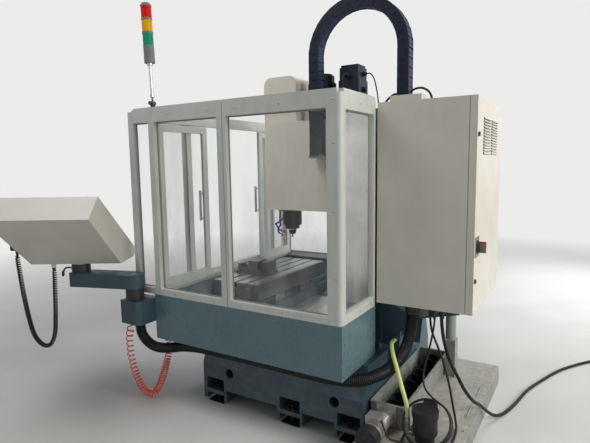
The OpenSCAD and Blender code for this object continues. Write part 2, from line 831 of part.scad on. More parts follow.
module head_cover() {
    t = 3;
    color(cream) {
        // Folded skirt round the casting, open to the column
        difference() {
            along_z(head_z0, cover_top - head_z0)
                rspan(-head_hx, head_hx, head_front, plate_y0 - 1, 22);
            along_z(head_z0 - 1, cover_top - head_z0 + 1 - t)
                rspan(-head_hx + t, head_hx - t, head_front + t, plate_y0 + 30, 19);
            rod_z(head_z1, cover_top + 1, 0, motor_y, motor_r + 8);
            box(-head_hx - 1, head_hx + 1, z_screw_y - 104, plate_y0, head_z1 + 20, cover_top + 1);
            box(-head_hx + 30, head_hx - 30, head_front + 30, -155, cover_top - t - 1, cover_top + 1);
        }
        // Rounded cover over the drawbar cylinder
        difference() {
            along_x(-head_hx + 15, head_w - 30) rspan(head_front + 2, -125, cover_top - 80, hump_top, 60);
            along_x(-head_hx + 15 + t, head_w - 30 - 2 * t)
                rspan(head_front + 2 + t, -125 - t, cover_top - 80 + t, hump_top - t, 60 - t);
            box(-head_hx, head_hx, head_front, 0, cover_top - 90, cover_top);
        }
    }
    // Screws that hold the skirt to the casting
    color(iron) both_sides() for (z = [head_z0 + 60, head_z0 + 240, head_z1 - 60], y = [-300, -60])
        rod_x(150, head_hx + 3, y, z, 7);
}

module spindle_motor() {
    color(dark) translate([0, motor_y, 0]) {
        rod_z(head_z1, motor_top - 60, 0, 0, motor_r);
        rod_z(motor_top - 61, motor_top - 12, 0, 0, motor_r - 8);
        rod_z(motor_top - 13, motor_top, 0, 0, motor_r - 22);
        // Cooling fins
        for (a = [0 : 15 : 359]) rotate([0, 0, a])
            box(motor_r - 2, motor_r + 5, -1.5, 1.5, cover_top + 6, motor_top - 66);
        box(-34, 34, motor_r - 12, motor_r + 18, cover_top + 120, cover_top + 200);
    }
}

module spindle_cartridge() {
    color(dark) difference() {
        union() {
            rod_z(nose_z + 30, head_z0 + 2, 0, spindle_y, nose_r);
            rod_z(nose_z, nose_z + 31, 0, spindle_y, nose_r - 18);
            rod_z(head_z0 + 1, head_z1 - 60, 0, spindle_y, 70 - seat_gap);
            rod_z(head_z0 - 18, head_z0 + 2, 0, spindle_y, nose_r + 11);
        }
        rod_z(nose_z - 1, head_z1, 0, spindle_y, shaft_r + 0.3);
    }
    // Drawbar cylinder above the casting
    color(iron) difference() {
        rod_z(head_z1, hump_top - 80, 0, spindle_y, 90);
        rod_z(head_z1 - 1, head_z1 + 30, 0, spindle_y, shaft_r + 8);
    }
}

module spindle_shaft() {
    color(bright) difference() {
        rod_z(nose_z - 12, head_z1 + 8, 0, spindle_y, shaft_r);
        // Taper socket
        translate([0, spindle_y, nose_z - 12.1]) cylinder(r1 = 22.4, r2 = 13, h = 68);
    }
}

module tool_holder() {
    color(steel) translate([0, spindle_y, 0]) rotate_extrude() polygon([
        [0, nose_z - 74], [6, nose_z - 74], [6, nose_z - 48], [25, nose_z - 46], [25, nose_z - 34],
        [31.5, nose_z - 32], [31.5, nose_z - 27], [27, nose_z - 24.5], [27, nose_z - 20.5],
        [31.5, nose_z - 18], [31.5, nose_z - 14], [22, nose_z - 14], [22, nose_z - 12],
        [13, nose_z + 52], [0, nose_z + 52]
    ]);
}

// Segmented coolant hose as a chain of beads along a route
module bead_hose(route, r) {
    for (i = [0 : len(route) - 2]) {
        a = route[i];
        b = route[i + 1];
        v = b - a;
        l = norm(v);
        translate(a) rotate([0, acos(v[2] / l), atan2(v[1], v[0])]) {
            cylinder(r1 = r, r2 = r * 0.72, h = l * 0.98);
            sphere(r * 0.86, $fn = 24);
        }
    }
}
function arc_route(a, b, c, n) =
    [for (i = [0 : n]) let (t = i / n) (1 - t) * (1 - t) * a + 2 * t * (1 - t) * b + t * t * c];

module coolant_nozzles() {
    y = spindle_y - nose_r - 22;
    color([0.75, 0.6, 0.25]) for (x = [-30, 30]) {
        rod_z(head_z0 - 34, head_z0 + 2, x, y, 9);
        hex_z(head_z0 - 24, head_z0 - 8, x, y, 24);
        translate([x, y, head_z0 - 34]) sphere(11, $fn = 24);
    }
    color([0.1, 0.15, 0.75]) {
        bead_hose(arc_route([-30, y, head_z0 - 40], [-40, y - 10, 1285], [-40, y - 92, 1262], 6), 8);
        bead_hose(arc_route([-40, y - 92, 1262], [-38, y - 66, 1206], [-22, y - 14, 1206], 5), 8);
        bead_hose(arc_route([30, y, head_z0 - 40], [34, y - 4, 1290], [36, y + 4, 1262], 5), 8);
        bead_hose(arc_route([36, y + 4, 1262], [38, y - 40, 1210], [14, y - 10, 1188], 5), 8);
    }
}

// Chip pan and glazed enclosure

module chip_pan() {
    s = pan_sheet;
    color(teal_light) difference() {
        union() {
            difference() {
                box(-enc_hx, enc_hx, -enc_front, enc_rear, pan_z, pan_top);
                box(-enc_hx + s, enc_hx - s, -enc_front + s, enc_rear - s, pan_z + s, pan_top - s);
                box(-enc_hx + 34, enc_hx - 34, -enc_front + 34, enc_rear - 34, pan_z + s, pan_top + 1);
            }
            // Upstand round the column
            both_sides() box(400, 400 + s, col_front + 10, enc_rear, pan_z, pan_top);
            both_sides() box(cover_hx + 20, 400 + s, col_front + 10, col_front + 10 + s, pan_z, pan_top);
        }
        // Openings for the bed and the column
        box(-cover_hx - 5, cover_hx + 5, -bed_front - 5, col_front + 9, pan_z - 1, pan_z + s + 1);
        box(-400, 400, col_front + 9, enc_rear + 1, pan_z - 1, pan_top + 1);
        box(-cover_hx - 5, cover_hx + 5, col_front - 40, col_front + 20, pan_z - 1, pan_z + s + 1);
        // Drain to the trough, at the rear right corner
        box(640, 840, enc_rear - 170, enc_rear - 70, pan_z - 1, pan_z + s + 1);
    }
}

// Window opening seen from the side, with round corners
module window(y0, y1, z0 = win_z0, z1 = win_z1) {
    rspan(y0, y1, z0, z1, 14);
}

module side_frame_pair() {
    difference() {
        union() {
            difference() {
                along_x(enc_hx - frame_t, frame_t) span(-wing_front, mull_seam, pan_top, frame_top);
                along_x(enc_hx - frame_t - 1, frame_t + 2) {
                    window(-wing_front + wing_post, post2_y0);
                    window(post2_y1, mull_y0);
                }
            }
            difference() {
                along_x(enc_hx - frame_t, frame_t) span(mull_seam + seam, enc_rear, pan_top, frame_top);
                along_x(enc_hx - frame_t - 1, frame_t + 2) window(mull_y1, rear_post_y);
                // Rounded rear corner
                translate([enc_hx - 28, enc_rear - 28, pan_top - 1]) difference() {
                    cube([29, 29, frame_top - pan_top + 2]);
                    cylinder(r = 28, h = frame_top);
                }
            }
        }
        // Rebate behind each window for its pane
        along_x(enc_hx - frame_t - 1, pane_t + 1) {
            span(-wing_front + wing_post - 12, post2_y0 + 12, win_z0 - 12, win_z1 + 12);
            span(post2_y1 - 12, mull_y0 + 12, win_z0 - 12, win_z1 + 12);
            span(mull_y1 - 12, rear_post_y + 12, win_z0 - 12, win_z1 + 12);
        }
    }
    // Roof flange on the top rail, chamfered at its front end
    difference() {
        along_x(enc_hx - frame_t + 4, frame_t - 8) polygon([
            [-wing_front + 30, frame_top], [enc_rear - 30, frame_top],
            [enc_rear - 30, frame_top + lip_h], [-wing_front + 60, frame_top + lip_h]
        ]);
        box(enc_hx - frame_t, enc_hx, mull_seam, mull_seam + seam, frame_top - 1, frame_top + lip_h + 1);
    }
}

module right_side_frames() {
    color(grey_paint) side_frame_pair();
}

module left_side_frames() {
    color(grey_paint) mirror([1, 0, 0]) side_frame_pair();
}

module end_frames() {
    inner = enc_hx - frame_t - seat_gap;
    color(grey_paint) {
        // Rear short frames
        both_sides() difference() {
            along_y(enc_rear - frame_t, frame_t) span(short_x0, inner, pan_top, frame_top);
            along_y(enc_rear - frame_t - 1, frame_t + 2) window(437, enc_hx - frame_t - 14, 887, 2042);
            along_y(enc_rear - frame_t - 1, pane_t + 1) span(425, inner - 2, 875, 2054);
        }
        both_sides() box(short_x0, inner, enc_rear - frame_t + 4, enc_rear - 4, frame_top, frame_top + lip_h);
        // Door frame with its sill, head rail and fixed lights
        difference() {
            along_y(-enc_front, frame_t) span(-inner, inner, pan_top, frame_top);
            along_y(-enc_front - 1, frame_t + 2) {
                span(-door_open_hx, door_open_hx, sill_z1, win_z1);
                window(door_open_hx + stile_w, inner - 58, sill_z1, win_z1);
                window(-inner + 58, -door_open_hx - stile_w, sill_z1, win_z1);
            }
            both_sides() along_y(-enc_front + frame_t - pane_t, pane_t + 1)
                span(door_open_hx + stile_w - 12, inner - 46, sill_z1 - 12, win_z1 + 12);
        }
    }
    color(steel) {
        // Hanging rail and bottom guide of the sliding doors
        box(-inner, inner, -enc_front + frame_t, track_y + 8, door_z1 + 6, door_z1 + 40);
        difference() {
            box(-inner, inner, -enc_front + frame_t, track_y + 8, door_z0 - 26, door_z0 - 4);
            box(-inner - 1, inner + 1, door_y0 - 1, track_y + 1, door_z0 - 12, door_z0 - 3);
        }
    }
}

module window_panes() {
    x = enc_hx - frame_t;
    inner = x - seat_gap;
    color([0.8, 0.85, 0.85, 0.4]) {
        both_sides() along_x(x, pane_t) {
            span(-wing_front + wing_post - 11.5, post2_y0 + 11.5, win_z0 - 11.5, win_z1 + 11.5);
            span(post2_y1 - 11.5, mull_y0 + 11.5, win_z0 - 11.5, win_z1 + 11.5);
            span(mull_y1 - 11.5, rear_post_y + 11.5, win_z0 - 11.5, win_z1 + 11.5);
        }
        both_sides() along_y(enc_rear - frame_t, pane_t) span(425.5, inner - 2.5, 875.5, 2053.5);
        both_sides() along_y(-enc_front + frame_t - pane_t, pane_t)
            span(door_open_hx + stile_w - 11.5, inner - 46.5, sill_z1 - 11.5, win_z1 + 11.5);
    }
}

module splash_panels() {
    z1 = win_z1 + 20;
    y0 = col_front + 10;
    color(cream) both_sides() {
        box(short_x0 - 3, short_x0, y0, enc_rear - 2, pan_top, z1);
        box(col_foot_hx + 4, short_x0 - 1, y0, y0 + 3, pan_top, z1);
    }
    // Fixed ends of the telescopic covers
    cover_pair(0);
    color(bright) {
        box(-cover_hx, cover_hx, -enc_front + pan_sheet, front_gap_y0, cover_z - cover_skirt, cover_z);
        box(-col_foot_hx + 20, col_foot_hx - 20, rear_gap_y1, col_front, cover_z - cover_sheet, cover_z);
    }
}

// Sliding door leaf with its pane, hanger wheels and handle
module door_leaf() {
    color(grey_paint) {
        difference() {
            along_y(door_y0, door_frame_t) span(door_x0, door_x1, door_z0, door_z1);
            along_y(door_y0 - 1, door_frame_t + 2)
                window(door_x0 + 48, door_x1 - 42, door_z0 + 50, door_z1 - 50);
        }
        // Tongue in the bottom guide
        box(door_x0 + 10, door_x1 - 10, door_y0 + 6, door_y0 + door_frame_t - 6, door_z0 - 12, door_z0 + 1);
    }
    color([0.8, 0.85, 0.85, 0.4]) box(door_x0 + 44, door_x1 - 38, door_y0 + 9, door_y0 + 9 + pane_t,
                                      door_z0 + 46, door_z1 - 46);
    color(dark) {
        for (z = [1330, 1530]) rod_y(door_y0 - 46, door_y0 + 1, door_x0 + 24, z, 8);
        rod_z(1310, 1550, door_x0 + 24, door_y0 - 46, 11);
    }
}

// Electrical cabinet

module cabinet_bracket() {
    color(teal_light) both_sides() along_x(gusset_x, gusset_t) polygon([
        [base_rear, base_top - 120], [base_rear + 60, base_top - 120],
        [base_rear + 85, base_top + 130], [base_rear + 190, cab_z0 - 117],
        [cab_y1 - 60, cab_z0 - 52], [cab_y1 - 60, cab_z0], [col_rear, cab_z0],
        [col_rear, bed_top + 4], [base_rear, bed_top + 4]
    ]);
    color(steel) {
        // Hose fitting on the right gusset
        rod_x(gusset_x + gusset_t, gusset_x + gusset_t + 24, base_rear + 54, bed_top + 56, 17);
        // Round support post at the left, on the tank
        rod_z(post_foot, cab_z0, post_xy[0], post_xy[1], 38);
        box(post_xy[0] - 44, post_xy[0] + 44, post_xy[1] - 24, post_xy[1] + 44, tank_h, post_foot);
    }
}

module cabinet_shell() {
    s = cab_sheet;
    color(grey_paint) {
        difference() {
            box(-cab_hx, cab_hx, cab_y0, cab_y1, cab_z0, cab_z1);
            box(-cab_hx + s, cab_hx - s, cab_y0 + s, cab_y1 - s, cab_z0 + s, cab_z1 - s);
            box(-cab_hx + 30, cab_hx - 30, cab_y0 + s, cab_y1 + 1, cab_z0 + 30, cab_z1 - 30);
        }
        // Cable entry box under the fixed end of the drag chain
        box(entry_x0, entry_x1, entry_y0, entry_y1, cab_z1, cab_z1 + entry_h);
        box(entry_x0 - 8, entry_x1 + 8, entry_y0 - 8, entry_y1 + 8, cab_z1, cab_z1 + 4);
    }
    // Cable glands in the floor
    color(dark) {
        gland(conduit_x, conduit_y, gland_r);
        gland(cables_x, pump_gland_y, 14);
        gland(cables_x, mains_gland_y, 20);
    }
    // Lower halves of the hinges, each with its pin
    color(steel) for (z = hinge_zs) {
        rod_z(z, z + 30, hinge_x, cab_y1, hinge_r);
        rod_z(z + 29, z + 58, hinge_x, cab_y1, hinge_pin_r);
        box(hinge_x, -cab_hx, cab_y1 - hinge_r, cab_y1 - 2, z, z + 30);
    }
}

module gland(x, y, r) {
    rod_z(cab_z0 - gland_l, cab_z0, x, y, r);
    hex_z(cab_z0 - 12, cab_z0, x, y, r * 2.05);
}

module cabinet_equipment() {
    y0 = cab_y0 + cab_sheet + 14;
    drive_top = cab_z1 - 215;
    color(bright) {
        box(-cab_hx + 40, cab_hx - 40, y0, y0 + 3, cab_z0 + 40, cab_z1 - 40);
        for (x = [-300, 300], z = [cab_z0 + 80, cab_z1 - 80]) rod_y(cab_y0 + cab_sheet, y0, x, z, 6);
    }
    // Drives, supply and contactors on the plate
    color(dark) for (k = [0 : 3]) box(-330 + k * 90, -262 + k * 90, y0 + 3, y0 + 190, drive_top - 340, drive_top);
    color(iron) box(80, 330, y0 + 3, y0 + 150, drive_top - 300, drive_top - 20);
    color(dark) for (k = [0 : 5]) box(-320 + k * 60, -272 + k * 60, y0 + 3, y0 + 90, drive_top - 570, drive_top - 490);
    color(steel) box(80, 320, y0 + 3, y0 + 170, cab_z0 + 78, cab_z0 + 278);
    // Slotted wiring ducts
    color(bright) for (z = [-650, -430, 40]) box(-cab_hx + 65, cab_hx - 65, y0 + 3, y0 + 60, drive_top + z, drive_top + z + 40);
}

module cabinet_door() {
    y0 = cab_y1 + 3;
    y1 = y0 + door_t;
    color(grey_paint) difference() {
        union() {
            difference() {
                box(-cab_hx, cab_hx, y0, y1, cab_z0, cab_z1);
                box(-cab_hx + 3, cab_hx - 3, y0 - 1, y1 - 3, cab_z0 + 3, cab_z1 - 3);
            }
            // Louvre hoods in two columns
            for (x = [-230, 20], k = [0 : 12])
                along_x(x, 210) polygon([
                    [y1 - 1, 1790 + k * 17], [y1 + 9, 1790 + k * 17], [y1 - 1, 1803 + k * 17]
                ]);
        }
        for (x = [-230, 20], k = [0 : 12]) box(x + 6, x + 204, y1 - 5, y1 + 5, 1788 + k * 17, 1793 + k * 17);
        rod_y(y0 - 1, y1 + 1, switch_x, switch_z, 14);
    }
    // Switch plate and lock
    color(steel) difference() {
        along_y(y1, 5) rspan(switch_x - 48, switch_x + 48, switch_z - 60, switch_z + 60, 8);
        rod_y(y1 - 1, y1 + 6, switch_x, switch_z, 14);
    }
    color(dark) for (z = [1050, 1900]) rod_y(y1, y1 + 6, cab_hx - 30, z, 13);
    // Upper halves of the hinges
    color(steel) for (z = hinge_zs) difference() {
        union() {
            rod_z(z + 30.5, z + 60, hinge_x, cab_y1, hinge_r);
            box(hinge_x, -cab_hx + 3, cab_y1 + 3, cab_y1 + 3 + hinge_r, z + 30.5, z + 60);
        }
        rod_z(z + 30, z + 61, hinge_x, cab_y1, hinge_pin_r + 0.3);
    }
}

module switch_handle() {
    y1 = cab_y1 + 3 + door_t;
    color([0.75, 0.08, 0.06]) {
        rod_y(y1 - 30, y1 + 20, switch_x, switch_z, 13.6);
        rod_y(y1 + 5.5, y1 + 20, switch_x, switch_z, 34);
        along_y(y1 + 19, 34) rspan(switch_x - 11, switch_x + 11, switch_z - 34, switch_z + 34, 10.5);
    }
}

// Drag chain: one row of box links on its path, joined along their side plates

function chain_point(s) =
    let (up = chain_centre_z - chain_head_z, arc = PI * chain_r)
    s < up ? [chain_left_y, chain_head_z + s, 0] :
    s < up + arc ?
        let (a = (s - up) / chain_r * 180 / PI)
        [chain_mid_y - chain_r * cos(a), chain_centre_z + chain_r * sin(a), a] :
        [chain_right_y, chain_centre_z - (s - up - arc), 180];

chain_len = (chain_centre_z - chain_head_z) + PI * chain_r + (chain_centre_z - chain_base_z);
chain_links = floor(chain_len / chain_pitch);
chain_step = chain_len / chain_links;

module chain_link(wall = 7) {
    l = chain_step * 0.78;
    difference() {
        box(-chain_w / 2, chain_w / 2, -chain_h / 2, chain_h / 2, -l / 2, l / 2);
        box(-chain_w / 2 + wall, chain_w / 2 - wall, -chain_h / 2 + wall, chain_h / 2 - wall, -l, l);
    }
}

module drag_chain() {
    color(dark) {
        for (i = [0 : chain_links - 1]) {
            p = chain_point((i + 0.5) * chain_step);
            translate([chain_x, p[0], p[1]]) rotate([-p[2], 0, 0]) {
                chain_link();
                if (i < chain_links - 1) for (s = [-1, 1])
                    translate([s * (chain_w / 2 - 3.5), 0, 0]) {
                        q = chain_point((i + 1.5) * chain_step);
                        rotate([p[2] == q[2] ? 0 : -(q[2] - p[2]) / 2, 0, 0])
                            box(-2.5, 2.5, -17, 17, 0, chain_step);
                    }
            }
        }
        // Mounting feet at both ends
        box(chain_x - 40, chain_x + 40, chain_left_y - 45, chain_left_y + 45,
            chain_head_z, chain_head_z + 9);
        box(chain_x - 40, chain_x + 40, chain_right_y - 45, chain_right_y + 45,
            chain_base_z, chain_base_z + 9);
    }
}

// Coolant tank and chip trough

module coolant_tank() {
    s = tank_sheet;
    color(grey_paint) difference() {
        union() {
            box(tank_x0, tank_x1, tank_y0, tank_y1, 0, tank_h - 4);
            box(trough_x0, trough_x1, tank_y0, trough_y1, 0, trough_h);
            box(trough_x0 - 14, trough_x1 + 14, tank_y0, trough_y1 + 14, trough_h - 4, trough_h);
        }
        box(trough_x0 + s, trough_x1 - s, tank_y0 + s, trough_y1 - s, s, trough_h + 1);
        box(tank_x0 + s, tank_x1 - s, trough_y1 + s, tank_y1 - s, s, tank_h + 1);
        box(trough_x1 + s, tank_x1 - s, tank_y0 + s, trough_y1 + s + 1, s, tank_h + 1);
        box(tank_x0 + s, trough_x0 - s, tank_y0 + s, trough_y1 + s + 1, s, tank_h + 1);
    }
    // Perforated strainer tray in the trough
    color(bright) difference() {
        box(trough_x0 + s, trough_x1 - s, tank_y0 + s, trough_y1 - s, 150, 153);
        for (x = [trough_x0 + 40 : 40 : trough_x1 - 30], y = [tank_y0 + 40, tank_y0 + 105, tank_y0 + 170])
            rod_z(149, 154, x, y, 7);
    }
}

module tank_lid() {
    color(grey_paint) difference() {
        union() {
            box(tank_x0, tank_x1, trough_y1 + 0.5, tank_y1, tank_h - 4, tank_h);
            box(trough_x1 + 0.5, tank_x1, tank_y0, trough_y1 + 1, tank_h - 4, tank_h);
            box(tank_x0, trough_x0 - 0.5, tank_y0, trough_y1 + 1, tank_h - 4, tank_h);
        }
        both_sides() box(-260, -60, tank_y1 - 60, tank_y1 - 40, tank_h - 5, tank_h + 1);
    }
}

module tank_motors() {
    y = 760;
    z = 216;
    // Gear motor of the chip auger
    color(iron) {
        box(trough_x1, trough_x1 + 10, y - 62, y + 62, z - 62, trough_h - 6);
        rod_x(trough_x1 + 9, trough_x1 + 60, y, z, 56);
    }
    color(steel) {
        rod_x(trough_x1 + 59, trough_x1 + 150, y, z, 50);
        rod_x(trough_x1 + 149, trough_x1 + 262, y, z, 58);
    }
    color(dark) {
        rod_x(trough_x1 + 261, trough_x1 + 330, y, z, 66);
        box(trough_x1 + 160, trough_x1 + 240, y - 40, y + 40, z + 50, z + 96);
        box(trough_x1 + 150, trough_x1 + 260, y - 50, y + 50, tank_h, z - 46);
    }
    // Coolant pump on the lid
    translate([pump_xy[0], pump_xy[1], 0]) {
        color(iron) {
            rod_z(tank_h, tank_h + 12, 0, 0, 92);
            rod_z(tank_h + 11, tank_h + 60, 0, 0, 56);
            rod_z(tank_h + 59, tank_h + 160, 0, 0, 70);
        }
        color(dark) {
            rod_z(tank_h + 159, tank_h + 200, 0, 0, 76);
            box(-128, -60, -38, 38, 260, tank_h + 196);
            rod_z(245, 261, 538 - pump_xy[0], 0, 11);
        }
        // Outlet pipe with the hose end on top
        color(steel) {
            rod_y(905 - pump_xy[1], -40, 0, tank_h + 36, 17);
            rod_z(tank_h + 19, 272, 0, 905 - pump_xy[1], 17);
        }
    }
}

// Console arm and console

module pendant_bracket() {
    y0 = pivot1[1] - 75;
    y1 = -enc_front;
    z0 = arm_z0 - 255;
    z1 = arm_z0 - 85;
    x1 = pivot1[0] + 70;
    color(teal) difference() {
        union() {
            along_z(z0, z1 - z0) polygon([
                [enc_hx - 40, y1], [enc_hx - 40, y0 + 30], [enc_hx - 10, y0],
                [x1, y0], [x1, y1 - 30], [x1 - 30, y1]
            ]);
            // Mounting flange on the pan's front wall
            box(enc_hx - 100, enc_hx - 30, y1 - 12, y1, z0 - 40, z1 + 15);
        }
        rod_z(z0 - 1, z0 + 10, conduit_end[0], conduit_end[1], 44);
    }
    color(dark) {
        rod_z(z1, arm_z0, pivot1[0], pivot1[1], 64);
        rod_z(arm_z0 - 1, arm_z1 - 20, pivot1[0], pivot1[1], 25);
        rod_z(conduit_end[2], z0 + 10, conduit_end[0], conduit_end[1], 44);
    }
    color(steel) {
        // Push-in fittings at the two ends of the air hose
        rod_z(air_ends[0][2], z0 + 1, air_ends[0][0], air_ends[0][1], 12);
        rod_z(air_ends[1][2], air_ends[1][2] + 15, air_ends[1][0], air_ends[1][1], 12);
        box(air_ends[1][0] - 15, air_ends[1][0] + 15, air_ends[1][1] - 16, -enc_front,
            air_ends[1][2] + 14, air_ends[1][2] + 44);
    }
}

module pendant_arm() {
    color(teal) difference() {
        translate([pivot1[0], pivot1[1], arm_z0]) rotate([0, 0, arm_turn]) linear_extrude(arm_z1 - arm_z0) {
            circle(arm_r, $fn = 96);
            span(0, arm_l, -arm_r, arm_r);
            rspan(arm_l - 80, arm_l + 62, -arm_r, arm_r, 24);
        }
        rod_z(arm_z0 - 1, arm_z1 - 18, pivot1[0], pivot1[1], 25.3);
    }
    color(dark) {
        rod_z(arm_z1, console_z - 12, pivot2[0], pivot2[1], swivel_r);
        rod_z(console_z - 13, console_z - 0.5, pivot2[0], pivot2[1], 30);
    }
}

// Corner points moved by d to the right of a closed outline's direction
function beside(p, d) = [
    for (i = [0 : len(p) - 1])
        let (u = unit(p[i] - p[(i + len(p) - 1) % len(p)]), v = unit(p[(i + 1) % len(p)] - p[i]))
        p[i] - d * (v - u) / (u[0] * v[1] - u[1] * v[0])
];
console_outline = [
    [-581, 1430], [face_y0, face_z0], [face_y1, face_z1], [187, console_z], [-80, console_z]
];

module console_housing() {
    t = console_sheet;
    color(grey_paint) {
        at_console() difference() {
            along_x(-console_w / 2, console_w) polygon(console_outline);
            along_x(-console_w / 2 + t, console_w - 2 * t) polygon(beside(console_outline, t));
            translate([0, face_y0, face_z0]) rotate([-face_slope, 0, 0])
                box(-face_hx - 2, face_hx + 2, panel_v0 - 2, panel_v1 + 2, -t - 1, 10);
        }
        // Ledge that the control panel is screwed to
        at_face() difference() {
            box(-face_hx - 12, face_hx + 12, panel_v0 - 10, panel_v1 + 10, -10, -t + 0.5);
            box(-face_hx - 2, face_hx + 2, panel_v0 - 2, panel_v1 + 2, -6, 1);
            box(-face_hx + 20, face_hx - 20, panel_v0 + 20, panel_v1 - 20, -11, 1);
        }
        // Cable connector under the rear edge
        at_console() rod_z(console_z - 27, console_z + 1, -172, -60, 16);
    }
    // Swivel seat
    color(dark) at_console() difference() {
        rod_z(console_z - 12, console_z + 1, 0, 0, 60);
        rod_z(console_z - 13, console_z + 2, 0, 0, 30.3);
    }
}

module console_panel() {
    color(dark) at_face() difference() {
        union() {
            box(-face_hx, face_hx, panel_v0, panel_v1, -6, -6 + panel_t);
            // Screen bezel
            along_z(-3, 7) difference() {
                rspan(-215, 135, 60, 350, 12);
                rspan(-190, 110, 85, 325, 6);
            }
            // Keys beside and below the screen
            for (k = [0 : 3], j = [0 : 6])
                box(160 + k * 32, 184 + k * 32, 66 + j * 40, 92 + j * 40, -3, 3);
            for (k = [0 : 15], j = [0 : 3])
                box(-270 + k * 34, -246 + k * 34, 390 + j * 38, 416 + j * 38, -3, 3);
            for (k = [0 : 7]) box(-120 + k * 30, -98 + k * 30, 640, 664, -3, 4);
            for (k = [0 : 7]) box(-120 + k * 30, -98 + k * 30, 700, 724, -3, 4);
        }
        translate([estop_u, estop_v, -10]) cylinder(r = 11.3, h = 20);
        translate([knob_u, knob_v, -10]) cylinder(r = 5.3, h = 20);
    }
}

module estop_button() {
    color([0.8, 0.1, 0.08]) at_face() translate([estop_u, estop_v, 0]) {
        translate([0, 0, -20]) cylinder(r = 11, h = 30);
        translate([0, 0, 9]) cylinder(r1 = 19, r2 = 20, h = 8);
        translate([0, 0, 16.9]) cylinder(r1 = 20, r2 = 15, h = 5);
    }
}

module override_knob() {
    color(dark) at_face() translate([knob_u, knob_v, 0]) {
        translate([0, 0, -16]) cylinder(r = 5, h = 20);
        translate([0, 0, 1]) cylinder(r = 22, h = 4);
        translate([0, 0, 4.9]) cylinder(r1 = 16, r2 = 14, h = 17);
        translate([-2, 0, 5]) cube([4, 18, 17.5]);
    }
}

module mpg_box() {
    x1 = -console_w / 2;
    color(dark) at_console() {
        difference() {
            along_x(x1 - 44, 44) rspan(mpg_y - 42, mpg_y + 42, mpg_z0, mpg_z0 + 165, 12);
            rod_x(x1 - 50, x1 - 20, mpg_y, mpg_z0 + 58, 8.3);
        }
        translate([-345, mpg_y, mpg_z0 - 22]) cylinder(r1 = 9, r2 = 13, h = 23);
        for (s = [-1, 1]) rod_x(x1 - 56, x1 - 43, mpg_y + s * 20, mpg_z0 + 130, 10);
    }
}

module mpg_dial() {
    x1 = -console_w / 2 - 44;
    color(bright) at_console() {
        rod_x(x1 - 2, x1 + 22, mpg_y, mpg_z0 + 58, 8);
        rod_x(x1 - 14, x1 - 0.6, mpg_y, mpg_z0 + 58, 31);
        rod_x(x1 - 26, x1 - 13, mpg_y + 19, mpg_z0 + 58, 5);
    }
}

// Signal tower

module tower_base() {
    color(grey_paint) translate([tower_xy[0], tower_xy[1], 0]) {
        rod_z(tower_z, tower_z + 8, 0, 0, 16);
        difference() {
            box(-15, 15, -9, 9, tower_z + 7, knuckle_z + 14);
            box(-7, 7, -20, 20, tower_z + 10, knuckle_z + 20);
        }
    }
    color(dark) translate([0, tower_xy[1], 0]) {
        rod_x(tower_xy[0] - 24, tower_xy[0] - 14, 0, knuckle_z, 9);
        rod_x(tower_xy[0] + 14, tower_xy[0] + 30, 0, knuckle_z, 13);
        rod_x(tower_xy[0] - 15, tower_xy[0] + 15, 0, knuckle_z, 4);
    }
}

module tower_stack() {
    color(bright) at_tower() {
        difference() {
            union() {
                rod_x(-6.5, 6.5, 0, 0, 12);
                rod_z(5, 60, 0, 0, 6.5);
            }
            rod_x(-8, 8, 0, 0, 4.3);
        }
        rod_z(40, 62, 0, 0, 15);
        rod_z(60, 262, 0, 0, 11);
        rod_z(255, 275, 0, 0, 20);
    }
    color(grey_paint) at_tower() {
        rod_z(270, 386, 0, 0, 36);
        for (z = [462, 552]) rod_z(z, z + 14, 0, 0, 37);
        rod_z(642, 652, 0, 0, 37);
        rod_z(651, 664, 0, 0, 28);
        rod_z(385, 652, 0, 0, 12);
    }
}

module tower_lenses() {
    at_tower() for (k = [0 : 2]) color([[0.1, 0.7, 0.3], [0.9, 0.6, 0.1], [0.8, 0.1, 0.1]][k])
        difference() {
            rod_z(386 + k * 90, 462 + k * 90, 0, 0, 35);
            rod_z(385 + k * 90, 463 + k * 90, 0, 0, 12.4);
        }
}

// Cords and hoses

module control_conduit() {
    color(dark) tube(conduit_route, conduit_d, 10);
}

module air_hose() {
    color([0.85, 0.25, 0.12]) tube(air_route, air_coil_d, 8);
}

module power_cable() {
    color(dark) tube(power_route, mains_d, 8);
}

module power_cable_coil() {
    color(dark) translate([coil_c[0], coil_c[1], 0]) rotate_extrude($fn = 64)
        translate([coil_r, 0]) span(-mains_d, mains_d, 0, coil_t);
}

module power_plug() {
    translate([coil_c[0], coil_c[1] + coil_r + 11, 0]) {
        color(dark) translate([-14, 0, 38]) rotate([0, 90, 0]) cylinder(r1 = 12, r2 = 19, h = 60);
        color([0.75, 0.1, 0.08]) translate([46, 0, 38]) rotate([0, 90, 0]) {
            cylinder(r = 28, h = 80);
            translate([0, 0, 79]) difference() {
                cylinder(r = 34, h = 42);
                translate([0, 0, 6]) cylinder(r = 30, h = 40);
            }
            for (a = [0 : 72 : 359]) rotate([0, 0, a]) translate([18, 0, 80]) cylinder(r = 3.5, h = 36);
        }
    }
}

module pump_cable() {
    color(dark) tube(pump_route, pump_d, 8);
}

module coolant_hose() {
    color([0.85, 0.85, 0.5]) tube(coolant_route, coolant_d, 8);
}

module mpg_cord() {
    color(dark) at_console() tube(curl_route, curl_d, 8);
}

